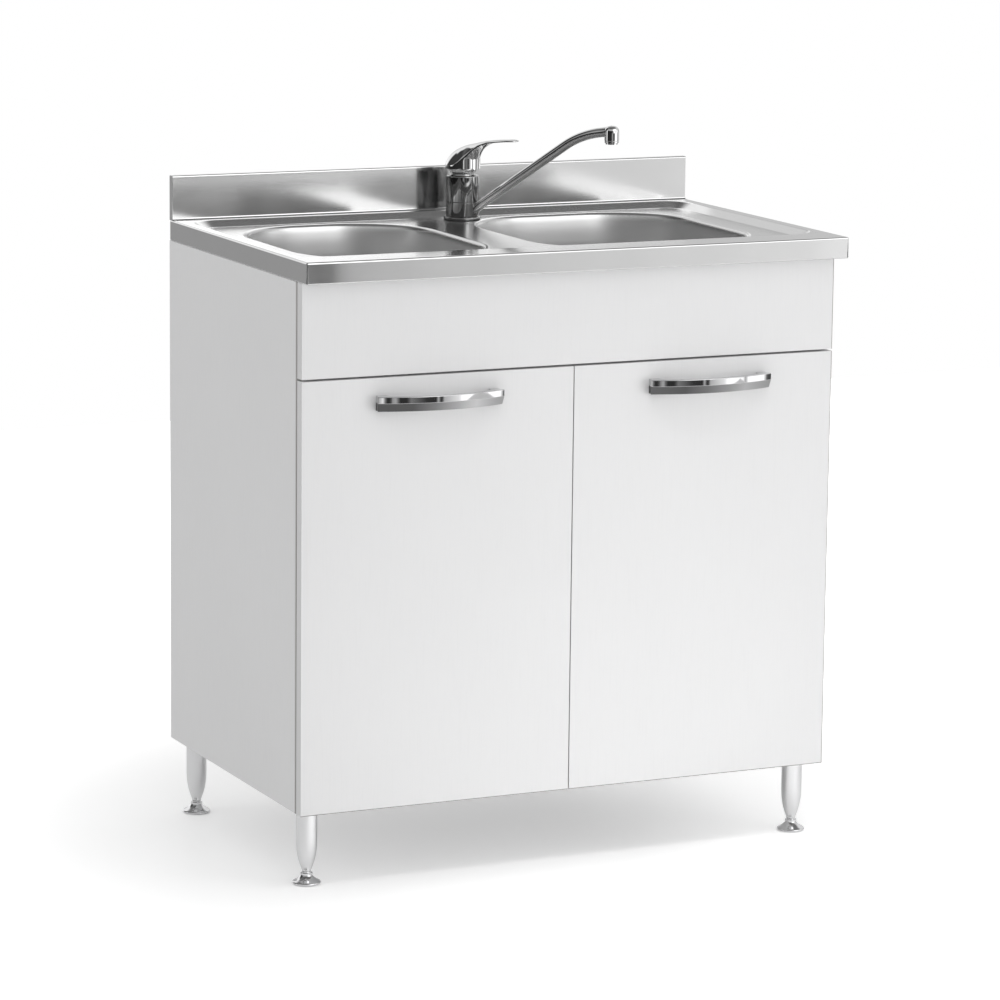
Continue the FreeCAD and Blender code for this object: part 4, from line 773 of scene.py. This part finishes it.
def lever_shell():
    """Every point of the lever's outline in plan is joined to the tap's axis by an upright section:
    up the inside of the ball seat, round the skirt's foot, up its outside, out along the underside
    of the blade, round its edge and back over the top. The top falls away from the ridge with the
    square of the distance across, down to the height of the edge."""
    ridge = flowing([(-SKIRT_RADIUS, 78), (-22.6, 84), (-14.5, 94.6), (3, 104), (23, 109.5),
                     (40, 113.6), (60, 116.7), (77, 118.15), (94, 118.5)], 12)
    below = flowing([(SKIRT_RADIUS, BLADE_HEIGHT), (27.5, 95.5), (33, 102.5), (44, 109),
                     (60, 112.8), (77, 114.8), (94, 115.6)], 12)
    tip = np.linspace(0, np.pi / 2, 12)
    tip = np.stack([LEVER_TIP + TIP_RADIUS * np.cos(tip), TIP_RADIUS * np.sin(tip)], -1)
    flank = flowing([(LEVER_TIP, TIP_RADIUS), (66, 10), (48, 10.3), (34, 11.9), (24, 14.8),
                     (BLADE_X, BLADE_Y)], 6)
    rear = np.linspace(np.arctan2(BLADE_Y, BLADE_X), np.pi, 30)
    rear = SKIRT_RADIUS * np.stack([np.cos(rear), np.sin(rear)], -1)
    half = np.vstack([tip, flank[1:], rear[1:]])
    width = half[::-1]
    outline = np.vstack([half, half[-2:0:-1] * (1, -1)])
    reach = np.linalg.norm(outline, axis=1)

    def top(along, across):
        crest = np.interp(along, *ridge.T)
        edge = np.interp(along, [-SKIRT_RADIUS, 0, 8, 16, 24, 34, 48, 84, 94],
                         [78, 78, 83.5, 92, 100.4, 107.6, 112.6, 117, 117.2])
        across = across / np.maximum(np.interp(along, *width.T), 1e-6)
        return crest - np.maximum(crest - edge, 0) * np.clip(across ** 2, 0, 1)

    rim_high = top(*outline.T)
    foot = np.minimum(BLADE_HEIGHT, rim_high - 3)
    shell = [(0, BALL_HEIGHT + SEAT_RADIUS)]
    shell += [(SEAT_RADIUS * np.sin(a), BALL_HEIGHT + SEAT_RADIUS * np.cos(a))
              for a in np.linspace(0.2, 1.37, 8)]
    shell += [(SKIRT_RADIUS - inward, SKIRT_LOW + up) for inward, up in (
        (2, 80 - SKIRT_LOW), (2, 0.4), (1.6, 0), (0.5, 0), (0.12, 0.15), (0, 0.6))]
    rows = [np.stack([np.full(len(outline), r), np.full(len(outline), z)], -1) for r, z in shell]
    wall = np.linspace(0, 1, 7)[1:, None] ** 0.8
    rows += list(np.stack([np.full((6, len(outline)), SKIRT_RADIUS),
                           SKIRT_LOW + 0.6 + (foot - SKIRT_LOW - 0.6) * wall], -1))
    out = np.array([0.03, 0.07, 0.12, 0.18, 0.26, 0.36, 0.48, 0.62, 0.76, 0.88, 0.96])[:, None]
    run = SKIRT_RADIUS + (reach - SKIRT_RADIUS) * out
    under = foot + np.interp(run, *below.T) - BLADE_HEIGHT
    rim_low = foot + np.interp(reach, *below.T) - BLADE_HEIGHT
    rows += list(np.stack([run, under], -1))
    share = np.array([0.97, 0.93, 0.87, 0.8, 0.7, 0.6, 0.5, 0.4, 0.3, 0.2, 0.1, 0.0])[:, None]
    over = np.stack([reach * share, top(outline[:, 0] * share, outline[:, 1] * share)], -1)
    rim_low = np.minimum(rim_low, rim_high - 1.6)
    edge = [rows[-1], np.stack([reach, rim_low], -1), np.stack([reach, rim_high], -1), over[1]]
    rows = np.concatenate([np.stack(rows[:-1]), rounded(np.stack(edge), [0.7, 1.3], 5), over[2:]])
    x, y = (outline / reach[:, None]).T
    return swung(np.stack([rows[..., 0] * x, rows[..., 0] * y, rows[..., 1]], -1), LEVER_TURN)


TAP_CHROME = chrome("tap_chrome", TAP_BRIGHT, 0.03)
# painted shade: the upright body and collar get a darker grey than the spout and the lever, for the
# dark reflections they would show
tree = TAP_CHROME.node_tree
place = vectors(tree, "SUBTRACT", place_in(tree), (TAP_X / 1000, TAP_Y / 1000, 0))
flat = vectors(tree, "MULTIPLY", place, (1, 1, 0))
from_axis = node(tree, "VectorMath", [flat], operation="LENGTH").outputs["Value"]
height = node(tree, "SeparateXYZ", [place]).outputs["Z"]
beyond = ranged(tree, from_axis, 0.026, 0.034, TAP_SHADE_GREY, TAP_BRIGHT)
above = ranged(tree, height, (DECK + BODY_TOP - 2) / 1000, (DECK + BODY_TOP + 4) / 1000,
               TAP_SHADE_GREY, TAP_BRIGHT)
grey = maths(tree, "MAXIMUM", beyond, above)
feed(TAP_CHROME, Base_Color=grey)
body_side = rounded([(0, SHANK_LOW), (SHANK_RADIUS, SHANK_LOW), (SHANK_RADIUS, 1), (26.5, 1),
                     (26.5, 3.4), (24.9, 4.8), (POST_RADIUS, 4.8), (POST_RADIUS, 25.8),
                     (TAP_RADIUS, 25.8), (TAP_RADIUS, BODY_TOP), (CARTRIDGE_RADIUS, BODY_TOP),
                     (CARTRIDGE_RADIUS, 37), (0, 37)],
                    [1.0, 0.3, 0.4, 0.8, 0.8, 0.3, 0.3, 0.45, 1.7, 0.5, 0.3], 5)
set_out(skin("tap_body_cast", [(on_tap(body_side), False, True)]), TAP_CHROME, "unit", "tap_chrome",
        "tap_body")
tube, outlet_height = spout_tube()
collar_side = rounded([(COLLAR_BORE, COLLAR_LOW + 9), (COLLAR_BORE, COLLAR_LOW),
                       (TAP_RADIUS, COLLAR_LOW), (TAP_RADIUS, COLLAR_HIGH),
                       (COLLAR_BORE, COLLAR_HIGH), (COLLAR_BORE, COLLAR_LOW + 10)], 0.5, 5)
bore = OUTLET_RADIUS - 1.6
nose_side = rounded([(bore, outlet_height - 18), (bore, OUTLET_LOW + 3),
                     (OUTLET_RADIUS, OUTLET_LOW + 3), (OUTLET_RADIUS, outlet_height - 3)], 0.4, 3)
dome = np.linspace(0, np.pi / 2, 14)
dome = np.column_stack([OUTLET_RADIUS * np.cos(dome) ** 0.7,
                        outlet_height - NOSE_DROP + NOSE_RISE * np.sin(dome) ** 0.7])
nose_side = np.vstack([nose_side, dome])
spout = skin("swivel_spout", [(on_tap(collar_side), True, True), (tube, False, True),
                              (on_tap(nose_side, OUTLET_REACH, SPOUT_TURN, 56), False, True)])
set_out(spout, TAP_CHROME, "spout", "tap_chrome", "tap_spout")
lip = OUTLET_RADIUS - 0.3
aerator_side = rounded([(radius, OUTLET_LOW + up) for radius, up in (
    (0, 2), (7, 2), (7, 0), (lip, 0), (lip, 3), (8.4, 3), (8.4, 8.6), (0, 8.6))], 0.5, 4)
aerator = skin("aerator_ring", [(on_tap(aerator_side, OUTLET_REACH, SPOUT_TURN, 48), False, True)])
set_out(aerator, TAP_CHROME, "spout", "tap_chrome", "tap_aerator")
ball = np.linspace(-0.62, 0.62, 22)
ball_side = [(13.8, BODY_TOP + 0.1), (19, BODY_TOP + 0.1), (19, BODY_TOP + 0.8)]
ball_side += [(BALL_RADIUS * np.cos(a), BALL_HEIGHT + BALL_RADIUS * np.sin(a)) for a in ball]
ball_side += [(14.6, BALL_HEIGHT + 10.6), (13.8, BALL_HEIGHT)]
set_out(skin("ball_cap", [(on_tap(ball_side), True, True)]), TAP_CHROME, "unit", "tap_chrome",
        "tap_ball_cap")
set_out(skin("lever_cast", [(lever_shell(), False, True)]), TAP_CHROME, "lever", "tap_chrome",
        "tap_lever")


# ------------------------------------------------------------------ drains and strainers
# Stainless waste fittings: a dished flange with a deep cup under each bowl, and in it a lift-out
# basket with a holed floor, a mushroom knob on top and a sealing plug below.

DRAIN_STEEL = steel("drain_steel", 0.68, 0.16, wave=0.00004)
for side in ("left", "right"):
    softened(side + "_drain", DRAIN_STEEL, 0.45)
    softened(side + "_strainer", DRAIN_STEEL, 0.3)


# ------------------------------------------------------------------ waste pipes and trap
# White moulded polypropylene: a pipe that joins both drains, a bottle trap and a stub to the
# wall, held by ribbed nuts, with black rubber seals under the bowls.


def moulded(name, colour, roughness, size, depth):
    """Moulded plastic or rubber: fine pits from the mould, and patches of slightly more gloss."""
    made = material(name, colour, roughness)
    tree = made.node_tree
    place = place_in(tree)
    pits = noise(tree, place, size, 2.0, 0.6)
    patch = noise(tree, place, 30.0, 2.0, 0.5)
    rough = maths(tree, "MULTIPLY_ADD", patch, 0.16, roughness - 0.08)
    shade = maths(tree, "MULTIPLY_ADD", patch, 0.06, 0.97)
    tint = vectors(tree, "MULTIPLY", colour, shade)
    feed(made, Base_Color=tint, Roughness=rough, Normal=bumped(tree, pits, depth))
    return made


WASTE_WHITE = moulded("waste_polypropylene", (0.80, 0.80, 0.78), 0.36, 700.0, 0.00002)
for part in ("waste_manifold", "trap_head", "trap_cup", "waste_outlet_pipe"):
    softened(part, WASTE_WHITE, 0.8)
for part in ("slip_nuts", "drain_nuts"):
    softened(part, WASTE_WHITE, 0.5)
SEAL_BLACK = moulded("seal_rubber", (0.025, 0.025, 0.027), 0.62, 1100.0, 0.00004)
for part in ("drain_seals", "tap_gasket"):
    softened(part, SEAL_BLACK, 0.4)


# ------------------------------------------------------------------ hinges, clips and screws
# Pressed and turned steel, nickel-plated: concealed cup hinges, spring clips that hold the sink
# top down, and all screws, bolts, pins and washers, with their heads' edges broken.

SCRATCH_DEPTH = 0.000004


def plated(name, colour, roughness):
    """Plated steel: crystalline blotches of the plating and short scratches from handling."""
    made = material(name, colour, roughness, 1.0)
    tree = made.node_tree
    place = place_in(tree)
    blotch = noise(tree, place, 160.0, 3.0, 0.6)
    drawn = vectors(tree, "MULTIPLY", place, (1.0, 0.06, 0.4))
    scratch = noise(tree, drawn, 1400.0, 1.0, 0.5)
    rough = maths(tree, "MULTIPLY_ADD", blotch, 0.14, roughness - 0.07)
    shade = maths(tree, "MULTIPLY_ADD", blotch, 0.16, 0.92)
    tint = vectors(tree, "MULTIPLY", colour, shade)
    feed(made, Base_Color=tint, Roughness=rough, Normal=bumped(tree, scratch, SCRATCH_DEPTH))
    return made


NICKEL = plated("nickel_plate", (0.66, 0.65, 0.62), 0.24)
for part in ("hinge_arms", "hinge_plates", "left_hinge_cups", "right_hinge_cups", "sink_clips"):
    softened(part, NICKEL, 0.3)
for part in ("left_hinge_pins", "right_hinge_pins", "left_hinge_cup_screws",
             "right_hinge_cup_screws", "cabinet_screws", "fascia_screws", "left_handle_screws",
             "right_handle_screws", "leg_bolts", "tap_lever_pin", "tap_washer"):
    softened(part, NICKEL, 0.25)


# ------------------------------------------------------------------ small parts
# Brass nut and lever stem of the tap, its plastic cartridge, plain beech dowels, and milky
# soft buffers where the doors close on the carcass.

BRASS = plated("bare_brass", (0.72, 0.52, 0.24), 0.28)
for part in ("tap_lock_nut", "tap_lever_stem"):
    softened(part, BRASS, 0.3)
ACETAL = moulded("cartridge_acetal", (0.46, 0.47, 0.50), 0.40, 900.0, 0.00002)
softened("tap_cartridge", ACETAL, 0.3)
MILKY = moulded("bumper_milky", (0.78, 0.79, 0.80), 0.30, 800.0, 0.00001)
softened("door_bumpers", MILKY, 0.4)
BEECH = moulded("beech_dowel", (0.62, 0.42, 0.24), 0.60, 800.0, 0.00005)
softened("carcass_dowels", BEECH, 0.6)
